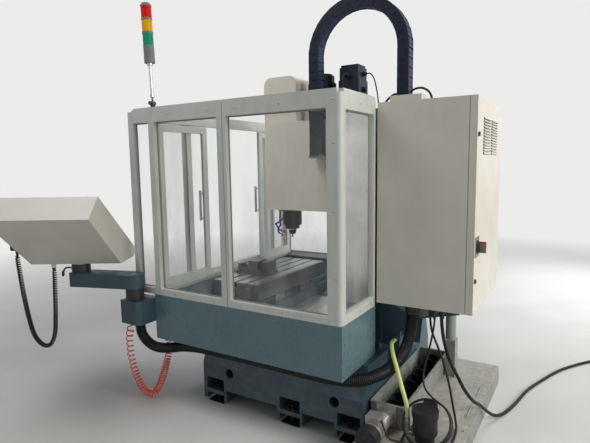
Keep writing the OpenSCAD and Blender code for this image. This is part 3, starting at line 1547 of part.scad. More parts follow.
base_casting();
leveling_pads();
column_casting();
guide_rails();
axis_servo_motors();
chip_pan();
right_side_frames();
left_side_frames();
end_frames();
window_panes();
splash_panels();
door_leaf();  // door_right
mirror([1, 0, 0]) door_leaf();  // door_left
cabinet_bracket();
cabinet_shell();
cabinet_equipment();
cabinet_door();
switch_handle();
drag_chain();
coolant_tank();
tank_lid();
tank_motors();
pendant_bracket();
pendant_arm();
console_housing();
console_panel();
estop_button();
override_knob();
mpg_box();
mpg_dial();
tower_base();
tower_stack();
tower_lenses();
saddle_casting();
x_servo_motor();
saddle_covers();
way_plates_a();
way_plates_b();
work_table();
vise_body();
vise_jaw();
vise_screw();
head_casting();
head_cover();
spindle_motor();
spindle_cartridge();
coolant_nozzles();
spindle_shaft();
tool_holder();
x_ball_screw();
y_ball_screw();
z_ball_screw();
control_conduit();
air_hose();
power_cable();
power_cable_coil();
power_plug();
pump_cable();
coolant_hose();
mpg_cord();
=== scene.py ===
"""Looks of the vertical machining center: finishes, cords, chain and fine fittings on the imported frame."""
from math import asin, atan2, cos, hypot, pi, radians, sin

import bmesh
import bpy
from mathutils import Matrix, Vector


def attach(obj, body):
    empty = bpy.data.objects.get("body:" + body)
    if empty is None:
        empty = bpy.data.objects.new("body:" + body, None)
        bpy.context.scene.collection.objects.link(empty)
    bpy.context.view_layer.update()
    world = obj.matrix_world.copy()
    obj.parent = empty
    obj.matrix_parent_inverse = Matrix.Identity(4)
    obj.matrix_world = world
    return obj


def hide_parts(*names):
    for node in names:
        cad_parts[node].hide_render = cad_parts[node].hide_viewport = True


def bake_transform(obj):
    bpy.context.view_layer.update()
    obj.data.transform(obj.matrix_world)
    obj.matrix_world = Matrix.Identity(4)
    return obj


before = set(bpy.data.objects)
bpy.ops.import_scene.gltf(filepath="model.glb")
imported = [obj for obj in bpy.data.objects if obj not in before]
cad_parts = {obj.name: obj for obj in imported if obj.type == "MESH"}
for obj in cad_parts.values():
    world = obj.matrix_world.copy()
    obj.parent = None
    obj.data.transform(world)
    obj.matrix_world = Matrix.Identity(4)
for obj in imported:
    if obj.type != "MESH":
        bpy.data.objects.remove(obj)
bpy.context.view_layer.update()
scene = bpy.context.scene


def color(red, green, blue):
    """Linear colour from display values between 0 and 255."""
    parts = []
    for value in (red, green, blue):
        value = value / 255
        parts.append(value / 12.92 if value <= 0.04045 else ((value + 0.055) / 1.055) ** 2.4)
    return (parts[0], parts[1], parts[2], 1.0)


def shade(tone, factor):
    """The same colour, lighter or darker."""
    return tuple(min(1.0, part * factor) for part in tone[:3]) + (1.0,)


UP = Vector((0, 0, 1))
BACK = Vector((0, 1, 0))
# The pale tone of the studio round the machine
STUDIO = color(236, 236, 235)
# Edges that turn by more than this stay sharp or get a bevel
SHARP_EDGE = radians(40)


def mix_shaders(tree, share, first, second, output):
    """Join two shaders of a node tree, with a share of the second, and show the result."""
    mix = tree.nodes.new("ShaderNodeMixShader")
    for source, socket in zip((share, first.outputs[0], second.outputs[0]), mix.inputs):
        tree.links.new(source, socket)
    tree.links.new(mix.outputs[0], tree.nodes[output].inputs["Surface"])


class Finish:
    """A node material laid out in object space, where one unit is one metre."""

    def __init__(self, name, roughness, metallic=0.0):
        self.material = bpy.data.materials.new(name)
        self.material.use_nodes = True
        self.tree = self.material.node_tree
        self.surface = self.tree.nodes["Principled BSDF"]
        self.feed({"Roughness": roughness, "Metallic": metallic})
        self.place = self.node("TexCoord", {}).outputs["Object"]

    def feed(self, values, node=None):
        """Give sockets of a node, or else of the surface, a value each or the output of another node."""
        node = self.surface if node is None else node
        for socket, value in values.items():
            if isinstance(value, bpy.types.NodeSocket):
                self.tree.links.new(value, node.inputs[socket])
            else:
                node.inputs[socket].default_value = value
        return node

    def node(self, kind, values):
        """A new node, with what its sockets get."""
        return self.feed(values, self.tree.nodes.new("ShaderNode" + kind))

    def noise(self, scale, detail, stretch=(1, 1, 1)):
        """Noise around 0.5, with scale waves to the metre, times stretch along each axis."""
        place = self.node("Mapping", {"Scale": stretch, "Vector": self.place}).outputs["Vector"]
        return self.node("TexNoise", {"Scale": scale, "Detail": detail, "Vector": place}).outputs["Fac"]

    def height(self):
        """Height above the floor."""
        return self.node("SeparateXYZ", {"Vector": self.place}).outputs["Z"]

    def remap(self, source, start, stop, low, high):
        """Turn start..stop of a source into low..high."""
        values = {"From Min": start, "From Max": stop, "To Min": low, "To Max": high, "Value": source}
        return self.node("MapRange", values).outputs["Result"]

    def spots(self, scale, detail, start, stop, low=0, high=1, stretch=(1, 1, 1)):
        """Noise whose values from start to stop become low to high."""
        return self.remap(self.noise(scale, detail, stretch), start, stop, low, high)

    def times(self, first, second):
        """Product of two sources."""
        node = self.node("Math", {0: first, 1: second})
        node.operation = "MULTIPLY"
        return node.outputs[0]

    def mix(self, factor, first, second):
        """A colour between two, each a colour or the output of a node."""
        node = self.node("Mix", {0: factor})
        node.data_type = "RGBA"
        self.feed({6: first, 7: second}, node)
        return node.outputs[2]

    def bump(self, source, distance):
        """Relief of the given depth in metres, added to any relief made before."""
        node = self.node("Bump", {"Distance": distance, "Strength": 1.0, "Height": source})
        normal = self.surface.inputs["Normal"]
        if normal.is_linked:
            self.feed({"Normal": normal.links[0].from_socket}, node)
        self.feed({"Normal": node.outputs["Normal"]})

    def cover(self, share, shader):
        """Mix another shader over the surface."""
        mix_shaders(self.tree, share, self.surface, shader, "Material Output")


def paint(name, tone, roughness, mottle=0.06, peel=0.00012, grime=0.0, metallic=0.0, grain=420, gleam=0.5):
    """Sprayed paint: soft patches, fine peel, and dirt that gathers in blotches and near the floor."""
    finish = Finish(name, roughness, metallic)
    finish.feed({"Specular IOR Level": gleam})
    patches = finish.spots(4.0, 5, 0.35, 0.65)
    look = finish.mix(patches, shade(tone, 1 - mottle), shade(tone, 1 + mottle))
    if grime:
        blotch = finish.spots(13, 7, 0.48, 0.72, 0, grime, (1, 1, 0.5))
        look = finish.mix(blotch, look, shade(tone, 0.55))
        low = finish.remap(finish.height(), 0.55, 0.0, 0, grime)
        dust = finish.times(low, finish.spots(30, 6, 0.35, 0.65, 0.2))
        look = finish.mix(dust, look, color(112, 108, 98))
    wear = finish.spots(22, 5, 0.3, 0.7, roughness - 0.07, roughness + 0.1)
    finish.feed({"Base Color": look, "Roughness": wear})
    finish.bump(finish.noise(grain, 2), peel)
    return finish.material


def cast_paint(name, tone):
    """Thick paint over a sand casting, wavy and a little chipped."""
    finish = Finish(name, 0.45)
    patches = finish.spots(3.2, 6, 0.35, 0.65)
    look = finish.mix(patches, shade(tone, 0.9), shade(tone, 1.08))
    chips = finish.spots(46, 8, 0.7, 0.74, 0, 0.5)
    look = finish.mix(chips, look, shade(tone, 0.45))
    low = finish.remap(finish.height(), 0.5, 0.0, 0, 0.55)
    dust = finish.times(low, finish.spots(18, 7, 0.38, 0.66))
    look = finish.mix(dust, look, color(116, 112, 102))
    finish.feed({"Base Color": look, "Roughness": finish.spots(14, 5, 0.3, 0.7, 0.34, 0.58)})
    finish.bump(finish.noise(26, 4), 0.0012)
    finish.bump(finish.noise(300, 2), 0.0002)
    return finish.material


def metal(name, tone, roughness, brushed, tint=0.1, scale=60):
    """Bare metal with tool marks along the axis that brushed leaves short."""
    finish = Finish(name, roughness, 1.0)
    marks = finish.noise(scale, 5, brushed)
    stain = finish.spots(7, 6, 0.4, 0.7)
    look = finish.mix(finish.remap(marks, 0.3, 0.7, 0, 1), shade(tone, 1 - tint), shade(tone, 1 + tint))
    look = finish.mix(stain, look, shade(tone, 0.8))
    wear = finish.remap(marks, 0.25, 0.75, roughness - 0.1, roughness + 0.12)
    finish.feed({"Base Color": look, "Roughness": wear})
    finish.bump(marks, 0.00006)
    return finish.material


def plastic(name, tone, roughness, texture=0.00008, mottle=0.05, gleam=0.5):
    """Moulded plastic or rubber with a fine spark-eroded skin."""
    finish = Finish(name, roughness)
    patches = finish.spots(24, 4, 0.35, 0.65)
    look = finish.mix(patches, shade(tone, 1 - mottle), shade(tone, 1 + mottle))
    wear = finish.spots(55, 5, 0.3, 0.7, roughness - 0.08, roughness + 0.08)
    finish.feed({"Base Color": look, "Roughness": wear, "Specular IOR Level": gleam})
    finish.bump(finish.noise(900, 1), texture)
    return finish.material


def pane(name, tone, clear, hazy, glow):
    """Clear sheet with wiped streaks and a haze that thickens towards its lower edge."""
    finish = Finish(name, 0.12)
    streaks = finish.spots(3.5, 6, 0.42, 0.68, stretch=(1, 1, 0.35))
    wiped = finish.spots(70, 5, 0.35, 0.7, 0.55, 1, (1, 1, 0.06))
    low = finish.remap(finish.height(), 1.7, 0.9, 0.25, 1)
    haze = finish.times(finish.times(streaks, wiped), low)
    finish.feed({"Base Color": tone, "IOR": 1.49, "Alpha": finish.remap(haze, 0, 0.8, clear, hazy),
                 "Roughness": finish.remap(haze, 0, 0.8, 0.06, 0.4)})
    # Light from behind lights up the haze
    veil = finish.node("BsdfTranslucent", {"Color": tone})
    finish.cover(finish.remap(haze, 0, 0.8, 0.015, glow), veil)
    return finish.material


def lens(name, tone):
    """Coloured lens ring with a faint glow of its own colour."""
    finish = Finish(name, 0.4)
    ribs = finish.spots(90, 2, 0.3, 0.7, stretch=(1, 1, 0.02))
    finish.feed({"Base Color": finish.mix(ribs, shade(tone, 0.8), shade(tone, 1.15)), "Emission Color": tone,
                 "Emission Strength": 0.18, "Specular IOR Level": 0.15})
    finish.bump(finish.noise(150, 1, (1, 1, 0.02)), 0.0004)
    return finish.material


TEAL = color(94, 121, 130)
GREY = color(204, 207, 201)
WARM = color(208, 205, 194)

CAST = cast_paint("cast_teal_paint", color(56, 80, 91))
PAN = paint("pan_teal_paint", TEAL, 0.3, 0.05, grime=0.12)
FRAME = paint("frame_powder_coat", GREY, 0.4, 0.04, grime=0.18)
CABINET = paint("cabinet_powder_coat", WARM, 0.42, 0.035, peel=0.00018, grime=0.06, grain=650, gleam=0.15)
CONSOLE = paint("console_powder_coat", WARM, 0.36, 0.035, peel=0.00018, grain=650)
CREAM = paint("head_cream_paint", color(234, 228, 212), 0.4, 0.04, grime=0.08)
TANK = paint("tank_grey_paint", color(150, 158, 153), 0.42, 0.1, grime=0.75)
LID = paint("tank_lid_paint", color(186, 184, 174), 0.45, 0.08, grime=0.5)
HEAD = cast_paint("head_casting_paint", color(120, 124, 122))
MOTOR = paint("motor_blue_black_paint", color(34, 38, 56), 0.45, 0.08, peel=0.0002, gleam=0.3)
SILVER = paint("cast_aluminium", color(186, 184, 178), 0.36, 0.08, peel=0.0003, metallic=0.6, grime=0.3)
STEEL = metal("machined_steel", color(176, 177, 176), 0.34, (0.1, 1, 1))
GROUND = metal("ground_steel", color(205, 206, 206), 0.2, (0.1, 1, 1), 0.05, 120)
TURNED = metal("turned_steel", color(196, 196, 194), 0.26, (1, 1, 0.08), 0.08, 140)
SHEET = metal("stainless_sheet", color(236, 234, 230), 0.34, (1, 0.2, 1), 0.03, 160)
TABLE = metal("ground_cast_iron", color(168, 168, 166), 0.38, (0.06, 1, 1), 0.12, 55)
ZINC = metal("zinc_fitting", color(186, 184, 172), 0.36, (1, 1, 1), 0.12, 90)
VISE = metal("vise_cast_iron", color(104, 108, 108), 0.42, (0.1, 1, 1), 0.2, 70)
BRASS = metal("brass_fitting", color(196, 164, 92), 0.3, (1, 1, 1), 0.1, 120)
BLACKED = metal("blackened_steel", color(50, 50, 56), 0.36, (1, 1, 0.2), 0.15, 90)
PANEL = plastic("panel_black", color(40, 41, 44), 0.44)
DRIVE = plastic("drive_black", color(42, 43, 46), 0.5)
RED = plastic("red_plastic", color(196, 28, 24), 0.28)
CHAIN = plastic("chain_black", color(25, 29, 46), 0.5, mottle=0.15, gleam=0.2)
CHAIN_EDGE = plastic("chain_bar_blue_black", color(46, 54, 84), 0.5, mottle=0.1, gleam=0.2)
PALE = plastic("tower_grey_plastic", color(116, 122, 120), 0.5, gleam=0.3)
COWL = paint("pump_black_paint", color(26, 27, 32), 0.5, 0.1, grime=0.2, gleam=0.3)
NOSE = paint("nose_black", color(34, 34, 48), 0.4, 0.1, gleam=0.3)
HOSE_BLUE = plastic("hose_blue_plastic", color(26, 44, 196), 0.35)
CONDUIT = plastic("conduit_black", color(14, 14, 16), 0.5, mottle=0.2, gleam=0.35)
ORANGE = plastic("hose_orange_plastic", color(238, 74, 34), 0.26, mottle=0.04)
CABLE = plastic("cable_black", color(13, 13, 15), 0.48, mottle=0.15, gleam=0.35)
TAG_YELLOW = plastic("collar_yellow", color(232, 190, 40), 0.4)
WHITE = plastic("key_white", color(222, 223, 220), 0.45)
BLUE_KEY = plastic("key_blue", color(70, 104, 150), 0.45)
GREEN_KEY = plastic("key_green", color(52, 142, 96), 0.4)
HANDLE = metal("handle_aluminium", color(196, 197, 196), 0.34, (1, 1, 0.1), 0.05, 120)
YELLOW = plastic("hose_yellow_plastic", color(216, 224, 140), 0.34, mottle=0.08)
SEAL = plastic("seal_rubber", color(28, 29, 31), 0.6)
GASKET = plastic("window_gasket", color(150, 153, 150), 0.6)
SWITCH_GREY = plastic("switch_grey", color(122, 126, 112), 0.5)
# Painted shade: a dark grey for the louvres' ends, where shadow falls
PAINTED_SHADE = paint("louvre_painted_shade", color(84, 82, 74), 0.6, gleam=0.1)
WINDOW = pane("window_sheet", color(226, 229, 227), 0.03, 0.14, 0.16)
SCREEN = plastic("screen_glass", color(24, 32, 44), 0.12, 0.0, 0.1)
LENS_GREEN = lens("lens_green", color(10, 128, 98))
LENS_AMBER = lens("lens_amber", color(206, 148, 22))
LENS_RED = lens("lens_red", color(190, 16, 16))


def dress(node, finish, *regions):
    """Give a CAD node its finish; a region (finish, low corner, high corner) takes the faces inside it."""
    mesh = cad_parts[node].data
    mesh.materials.clear()
    mesh.materials.append(finish)
    for index, (other, low, high) in enumerate(regions, 1):
        mesh.materials.append(other)
        for face in mesh.polygons:
            if all(low[axis] <= face.center[axis] <= high[axis] for axis in range(3)):
                face.material_index = index


def show(name, data):
    """A new object in the scene."""
    made = bpy.data.objects.new(name, data)
    scene.collection.objects.link(made)
    return made


def circle(count):
    """Cosine and sine of equal steps once round."""
    return [(cos(2 * pi * k / count), sin(2 * pi * k / count)) for k in range(count)]


class Piece:
    """One mesh put together from plain closed forms, each with its own finish."""

    def __init__(self, name, place=None):
        self.name = name
        self.mesh = bmesh.new()
        self.finishes = []
        self.place = place or Matrix.Identity(4)
        self.spot = Matrix.Identity(4)

    def _number(self, finish):
        if finish not in self.finishes:
            self.finishes.append(finish)
        return self.finishes.index(finish)

    def _own(self, made, finish):
        number = self._number(finish)
        for face in {face for vertex in made["verts"] for face in vertex.link_faces}:
            face.material_index = number

    def box(self, corner, other, finish, turn=None):
        """A block between two opposite corners; turn is a matrix about its middle."""
        corner, other = Vector(corner), Vector(other)
        size = [abs(part) for part in other - corner]
        place = self.spot @ Matrix.Translation((corner + other) / 2)
        if turn is not None:
            place = place @ turn.to_4x4()
        place = place @ Matrix.Diagonal((*size, 1))
        made = bmesh.ops.create_cube(self.mesh, size=1, matrix=place)
        self._own(made, finish)

    def rod(self, start, end, radius, finish, tip=None, sides=24):
        """A round bar or, with a tip radius, a cone."""
        start, end = Vector(start), Vector(end)
        line = end - start
        place = Matrix.Translation((start + end) / 2) @ line.to_track_quat("Z", "Y").to_matrix().to_4x4()
        made = bmesh.ops.create_cone(
            self.mesh, cap_ends=True, segments=sides, radius1=radius,
            radius2=radius if tip is None else tip, depth=line.length, matrix=self.spot @ place)
        self._own(made, finish)

    def turned(self, start, direction, profile, finish, sides=28):
        """A turned form: profile is a list of (distance along the axis, radius)."""
        start = Vector(start)
        axis = Vector(direction).normalized()
        for (first, radius), (second, tip) in zip(profile, profile[1:]):
            self.rod(start + axis * first, start + axis * second, radius, finish, tip, sides)

    def ring(self, centre, axis, radius, thickness, finish, sides, section):
        """A round ring."""
        turn = Vector(axis).to_track_quat("Z", "Y").to_matrix()
        rows = []
        for x, y in circle(sides):
            out = Vector((x, y, 0))
            points = [out * (radius + thickness * a) + UP * thickness * b for a, b in circle(section)]
            rows.append(self.row([Vector(centre) + turn @ point for point in points]))
        self.skin(rows, finish, closed=True)

    def sweep(self, path, outline, finish):
        """Carry a closed outline of (side, up) points along a path, and close both ends."""
        rows = [self.row([point + side * a + up * b for a, b in outline]) for point, side, up in frames(path)]
        self.skin(rows, finish)
        for row in (rows[0], rows[-1][::-1]):
            self.mesh.faces.new(row).material_index = self._number(finish)

    def row(self, points):
        """New vertices at the points."""
        return [self.mesh.verts.new(self.spot @ point) for point in points]

    def skin(self, rows, finish, closed=False):
        """Faces between rows of points that each go once round; closed joins the last row to the first."""
        number = self._number(finish)
        count = len(rows[0])
        for i in range(len(rows) if closed else len(rows) - 1):
            first, second = rows[i], rows[(i + 1) % len(rows)]
            for j in range(count):
                k = (j + 1) % count
                face = self.mesh.faces.new((first[j], first[k], second[k], second[j]))
                face.material_index = number

    def done(self, body, bevel=0.0006, segments=2):
        """Make the object, with slightly rounded edges, and let it ride on its body."""
        bmesh.ops.recalc_face_normals(self.mesh, faces=self.mesh.faces)
        self.mesh.transform(self.place)
        data = bpy.data.meshes.new(self.name)
        self.mesh.to_mesh(data)
        self.mesh.free()
        for finish in self.finishes:
            data.materials.append(finish)
        made = show(self.name, data)
        for face in data.polygons:
            face.use_smooth = True
        data.set_sharp_from_angle(angle=SHARP_EDGE)
        if bevel:
            rounding = made.modifiers.new("edges", "BEVEL")
            rounding.width = bevel
            rounding.segments = segments
            rounding.limit_method = "ANGLE"
            rounding.angle_limit = SHARP_EDGE
            rounding.harden_normals = True
        if body:
            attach(made, body)
        return made


def frames(path):
    """Each point of a path with a side and an up direction that turn as little as possible along it."""
    path = [Vector(point) for point in path]
    found = []
    side = None
    for i, point in enumerate(path):
        along = (path[min(i + 1, len(path) - 1)] - path[max(i - 1, 0)]).normalized()
        if side is None:
            side = along.cross(UP)
            if side.length < 0.01:
                side = along.cross(BACK)
        side = (side - along * side.dot(along)).normalized()
        found.append((point, side, side.cross(along)))
    return found


def smooth(points, step):
    """A rounded line through the points, with a point about every step of its length."""
    points = [Vector(point) for point in points]
    parts = 16
    dense = []
    for i in range(len(points) - 1):
        a = points[max(i - 1, 0)]
        b, c = points[i], points[i + 1]
        d = points[min(i + 2, len(points) - 1)]
        for k in range(parts):
            t = k / parts
            dense.append(((b * 2) + (c - a) * t + (a * 2 - b * 5 + c * 4 - d) * t * t
                          + (b * 3 - a - c * 3 + d) * t * t * t) / 2)
    dense.append(points[-1])
    return evenly(dense, step)


def evenly(points, step):
    """Points along a line at equal distances."""
    points = [Vector(point) for point in points]
    total = length_of(points)
    count = max(2, round(total / step))
    spaced = [points[0].copy()]
    walked = 0.0
    for first, second in zip(points, points[1:]):
        span = (second - first).length
        while len(spaced) < count and walked + span >= total * len(spaced) / count - 1e-9:
            share = (total * len(spaced) / count - walked) / span
            spaced.append(first.lerp(second, share))
        walked += span
    spaced.append(points[-1].copy())
    return spaced


def length_of(points):
    """Length of a line of points."""
    return sum((Vector(b) - Vector(a)).length for a, b in zip(points, points[1:]))


def coiled(line, radius, pitches, points_per_turn=18):
    """A helix round a line; pitches gives the distance between turns at even places along it."""
    pace = 0.001
    # Paces over which the helix opens at one end and closes at the other
    run_in = 30
    line = evenly(line, pace)
    shaped = []
    angle = 0.0
    total = len(line) - 1
    for i, (point, side, up) in enumerate(frames(line)):
        place = i / total * (len(pitches) - 1)
        index = min(int(place), len(pitches) - 2)
        pitch = pitches[index] + (pitches[index + 1] - pitches[index]) * (place - index)
        wide = radius * min(1.0, i / run_in, (total - i) / run_in)
        shaped.append(point + (side * cos(angle) + up * sin(angle)) * wide)
        angle += 2 * pi * pace / pitch
    step = hypot(2 * pi * radius, sum(pitches) / len(pitches)) / points_per_turn
    return evenly(shaped, step)


def tube(name, points, diameter, finish, body, rounds=4):
    """A round cord along a line of points."""
    data = bpy.data.curves.new(name, "CURVE")
    data.dimensions = "3D"
    data.bevel_depth = diameter / 2
    data.bevel_resolution = rounds
    data.use_fill_caps = True
    spline = data.splines.new("POLY")
    spline.points.add(len(points) - 1)
    for control, point in zip(spline.points, points):
        control.co = (*point, 1)
    spline.use_smooth = True
    data.materials.append(finish)
    made = show(name, data)
    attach(made, body)
    return made


def add_camera():
    """The camera of the photograph."""
    data = bpy.data.cameras.new("photo_camera")
    data.sensor_width = 36
    data.lens = 29.56
    data.clip_end = 200
    turn = Matrix.Identity(4)
    for degrees, axis in ((121.57, "Z"), (83.28, "X"), (-0.859, "Z")):
        turn = turn @ Matrix.Rotation(radians(degrees), 4, axis)
    camera = show("photo_camera", data)
    camera.matrix_world = Matrix.Translation((3.274, 1.765, 1.745)) @ turn
    scene.camera = camera


CONDUIT_ROUTE = [
    (0.322, 0.822, 0.822), (0.322, 0.822, 0.76), (0.335, 0.818, 0.69), (0.372, 0.81, 0.61),
    (0.43, 0.795, 0.55), (0.54, 0.765, 0.5), (0.65, 0.715, 0.476), (0.735, 0.635, 0.461),
    (0.775, 0.52, 0.457), (0.785, 0.4, 0.456), (0.785, 0.15, 0.456), (0.785, -0.1, 0.456),
    (0.785, -0.35, 0.455), (0.787, -0.56, 0.45), (0.8, -0.72, 0.437), (0.828, -0.812, 0.421),
    (0.858, -0.894, 0.415), (0.879, -0.952, 0.427), (0.896, -1.001, 0.462), (0.908, -1.034, 0.512),
    (0.912, -1.045, 0.564), (0.912, -1.045, 0.6),
]
AIR_ROUTE = [
    (0.985, -1.066, 0.612), (0.985, -1.066, 0.572), (0.982, -1.088, 0.505), (0.975, -1.092, 0.391),
    (0.965, -1.088, 0.303), (0.948, -1.076, 0.201), (0.925, -1.055, 0.112), (0.9, -1.032, 0.06),
    (0.87, -1.008, 0.036), (0.845, -0.988, 0.052), (0.828, -0.964, 0.1), (0.818, -0.944, 0.155),
    (0.807, -0.922, 0.228), (0.79, -0.904, 0.32), (0.77, -0.906, 0.39), (0.76, -0.922, 0.445),
    (0.765, -0.932, 0.49), (0.765, -0.932, 0.53),
]
POWER_ROUTE = [
    (0.345, 1.015, 0.822), (0.345, 1.015, 0.762), (0.34, 1.03, 0.65), (0.32, 1.06, 0.529),
    (0.3, 1.105, 0.425), (0.27, 1.148, 0.325), (0.2, 1.185, 0.235), (0.11, 1.212, 0.172),
    (0.03, 1.238, 0.105), (-0.045, 1.264, 0.05), (-0.11, 1.29, 0.02), (-0.19, 1.322, 0.011),
    (-0.358, 1.366, 0.011), (-0.62, 1.415, 0.011), (-0.88, 1.5, 0.011), (-1.16, 1.612, 0.011),
    (-1.4, 1.76, 0.011), (-1.51, 1.85, 0.011), (-1.57, 1.915, 0.011),
]
PUMP_ROUTE = [
    (0.345, 0.945, 0.822), (0.345, 0.945, 0.762), (0.348, 0.96, 0.69), (0.354, 1, 0.6), (0.36, 1.04, 0.5),
    (0.368, 1.075, 0.38), (0.372, 1.098, 0.27), (0.384, 1.118, 0.19), (0.415, 1.132, 0.156),
    (0.47, 1.142, 0.148), (0.56, 1.15, 0.148), (0.66, 1.145, 0.148), (0.75, 1.115, 0.148),
    (0.8, 1.05, 0.148), (0.805, 0.98, 0.148), (0.775, 0.92, 0.148), (0.7, 0.892, 0.148),
    (0.6, 0.89, 0.148), (0.52, 0.905, 0.148), (0.478, 0.94, 0.148), (0.48, 0.98, 0.152),
    (0.51, 1.004, 0.17), (0.538, 1.01, 0.207), (0.538, 1.01, 0.245),
]
MOTOR_ROUTE = [
    (0.382, 0.98, 0.828), (0.382, 0.98, 0.77), (0.388, 0.965, 0.66), (0.405, 0.945, 0.55),
    (0.44, 0.935, 0.46), (0.485, 0.955, 0.395), (0.52, 1.005, 0.362),
]
MOTOR_END = [(0.795, 0.905, 0.185), (0.818, 0.855, 0.205), (0.812, 0.822, 0.255), (0.8, 0.803, 0.288)]
SHORT_LEADS = [
    ("axis_motor_cable", 0.011, [
        (0.1, 0.262, 2.36), (0.14, 0.262, 2.36), (0.168, 0.262, 2.34), (0.182, 0.268, 2.28),
        (0.18, 0.28, 2.2), (0.172, 0.3, 2.14), (0.168, 0.31, 2.101)]),
    ("axis_encoder_cable", 0.009, [
        (0, 0.367, 2.375), (0, 0.395, 2.372), (0.004, 0.425, 2.33), (0.012, 0.45, 2.24),
        (0.018, 0.462, 2.16), (0.02, 0.465, 2.101)]),
    ("chain_roof_lead", 0.014, [
        (0.258, 0.768, 2.18), (0.262, 0.8, 2.198), (0.267, 0.845, 2.2), (0.27, 0.885, 2.178),
        (0.272, 0.905, 2.145), (0.272, 0.91, 2.116)]),
    ("chain_column_lead", 0.014, [
        (0.25, 0.682, 2.178), (0.248, 0.66, 2.178), (0.243, 0.63, 2.162), (0.235, 0.602, 2.138),
        (0.228, 0.585, 2.115), (0.225, 0.58, 2.101)]),
]
COOLANT_ROUTE = [
    (0.285, 0.694, 0.576), (0.318, 0.694, 0.576), (0.365, 0.703, 0.59), (0.42, 0.722, 0.594),
    (0.48, 0.746, 0.588), (0.54, 0.78, 0.562), (0.59, 0.822, 0.505), (0.625, 0.86, 0.43),
    (0.646, 0.895, 0.35), (0.65, 0.905, 0.3), (0.65, 0.905, 0.272),
]
CURL_ROUTE = [
    (-0.345, -0.205, 1.163), (-0.345, -0.205, 1.11), (-0.337, -0.202, 1), (-0.327, -0.196, 0.86),
    (-0.312, -0.184, 0.7), (-0.29, -0.166, 0.56), (-0.252, -0.136, 0.48), (-0.214, -0.106, 0.47),
    (-0.188, -0.086, 0.54), (-0.178, -0.074, 0.68), (-0.174, -0.066, 0.84), (-0.172, -0.06, 0.96),
    (-0.172, -0.06, 1.03),
]
# The console's own frame: its swivel at the arm's end, turned to face the operator
CONSOLE_PLACE = Matrix.Translation((1.11002, -1.41825, 0)) @ Matrix.Rotation(radians(121.5), 4, "Z")
# The sloping face: x across, y up the slope, z out of it
FACE_PLACE = CONSOLE_PLACE @ Matrix.Translation((0, -0.414, 1.56)) @ Matrix.Rotation(radians(-34), 4, "X")


# The drag chain's plane, the Y and height of its two ends, and its arch
CHAIN_X = 0.23
CHAIN_FOOT = (0.724, 2.161)
CHAIN_HEAD = (0.088, 1.8)
CHAIN_CROWN = 2.47
CHAIN_BEND = 0.318
CHAIN_MIDDLE = 0.406
# The line of the chip auger and its gear motor
AUGER_Y = 0.76
AUGER_Z = 0.216
# Profiles of small screw heads
FRAME_SCREW = [(0, 0.0062), (0.0012, 0.006), (0.0026, 0.0035)]
PANEL_SCREW = [(0, 0.005), (0.003, 0.0048), (0.0045, 0.002)]


def add_conduit():
    """The ribbed conduit from the cabinet's floor to the arm's bracket."""
    line = smooth(CONDUIT_ROUTE, 0.0026)
    piece = Piece("ribbed_conduit")
    rows = []
    for i, (point, side, up) in enumerate(frames(line)):
        # Two points on a rib, then two in the groove after it
        radius = 0.0372 if i % 4 in (0, 1) else 0.0342
        rows.append(piece.row([point + (side * a + up * b) * radius for a, b in circle(28)]))
    piece.skin(rows, CONDUIT)
    conduit = piece.done("frame", bevel=0)
    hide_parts("control_conduit")


def add_air_hose():
    """The orange coiled air hose between its two fittings."""
    pitches = [0.044, 0.042, 0.036, 0.028, 0.021, 0.017, 0.016, 0.019, 0.024, 0.03]
    line = coiled(smooth(AIR_ROUTE, 0.004), 0.024, pitches)
    hose = tube("air_hose_coil", line, 0.008, ORANGE, "frame", 3)
    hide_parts("air_hose")


def add_handwheel_cord():
    """The curled cord of the handwheel box."""
    route = [CONSOLE_PLACE @ Vector(point) for point in CURL_ROUTE]
    pitches = [0.018, 0.0115, 0.0105, 0.0105, 0.0105, 0.0105, 0.0115, 0.018]
    line = coiled(smooth(route, 0.004), 0.0125, pitches, 14)
    cord = tube("handwheel_curled_cord", line, 0.009, CABLE, "console", 3)
    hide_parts("mpg_cord")


def coil_turns():
    """The turns of the put-away mains cable, lower layer first, from the end of the route on the floor."""
    centre = Vector((-1.48, 2.02, 0))
    start = Vector(POWER_ROUTE[-1]) - centre
    angle = atan2(start.y, start.x)
    # Radius and height of each turn
    turns = [(0.131, 0.0115), (0.109, 0.0115), (0.109, 0.0345), (0.131, 0.0345)]
    parts = 24
    points = []
    for number, (radius, height) in enumerate(turns):
        next_radius, next_height = turns[min(number + 1, len(turns) - 1)]
        for k in range(parts):
            share = k / parts
            # The last quarter of a turn leads over to the next one
            ease = max(0.0, (share - 0.75) * 4)
            ease = ease * ease * (3 - 2 * ease)
            wide = radius + (next_radius - radius) * ease
            here = angle - 2 * pi * (number + share)
            points.append(centre + Vector((wide * cos(here), wide * sin(here),
                                           height + (next_height - height) * ease)))
    return points


def add_mains_cable():
    """The mains cable with its coil and plug, one continuous length."""
    line = smooth(POWER_ROUTE[:-1] + coil_turns(), 0.012)
    cable = tube("mains_cable", line, 0.022, CABLE, "frame", 5)
    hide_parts("power_cable", "power_cable_coil")


def add_pump_cable():
    """The pump's cable, which lies on the tank's lid."""
    line = smooth(PUMP_ROUTE, 0.01)
    cable = tube("pump_motor_cable", line, 0.014, CABLE, "frame")
    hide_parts("pump_cable")


def lead(name, route, diameter):
    """A plain black cable between two fittings."""
    line = smooth(route, 0.008)
    cable = tube(name, line, diameter, CABLE, "frame")


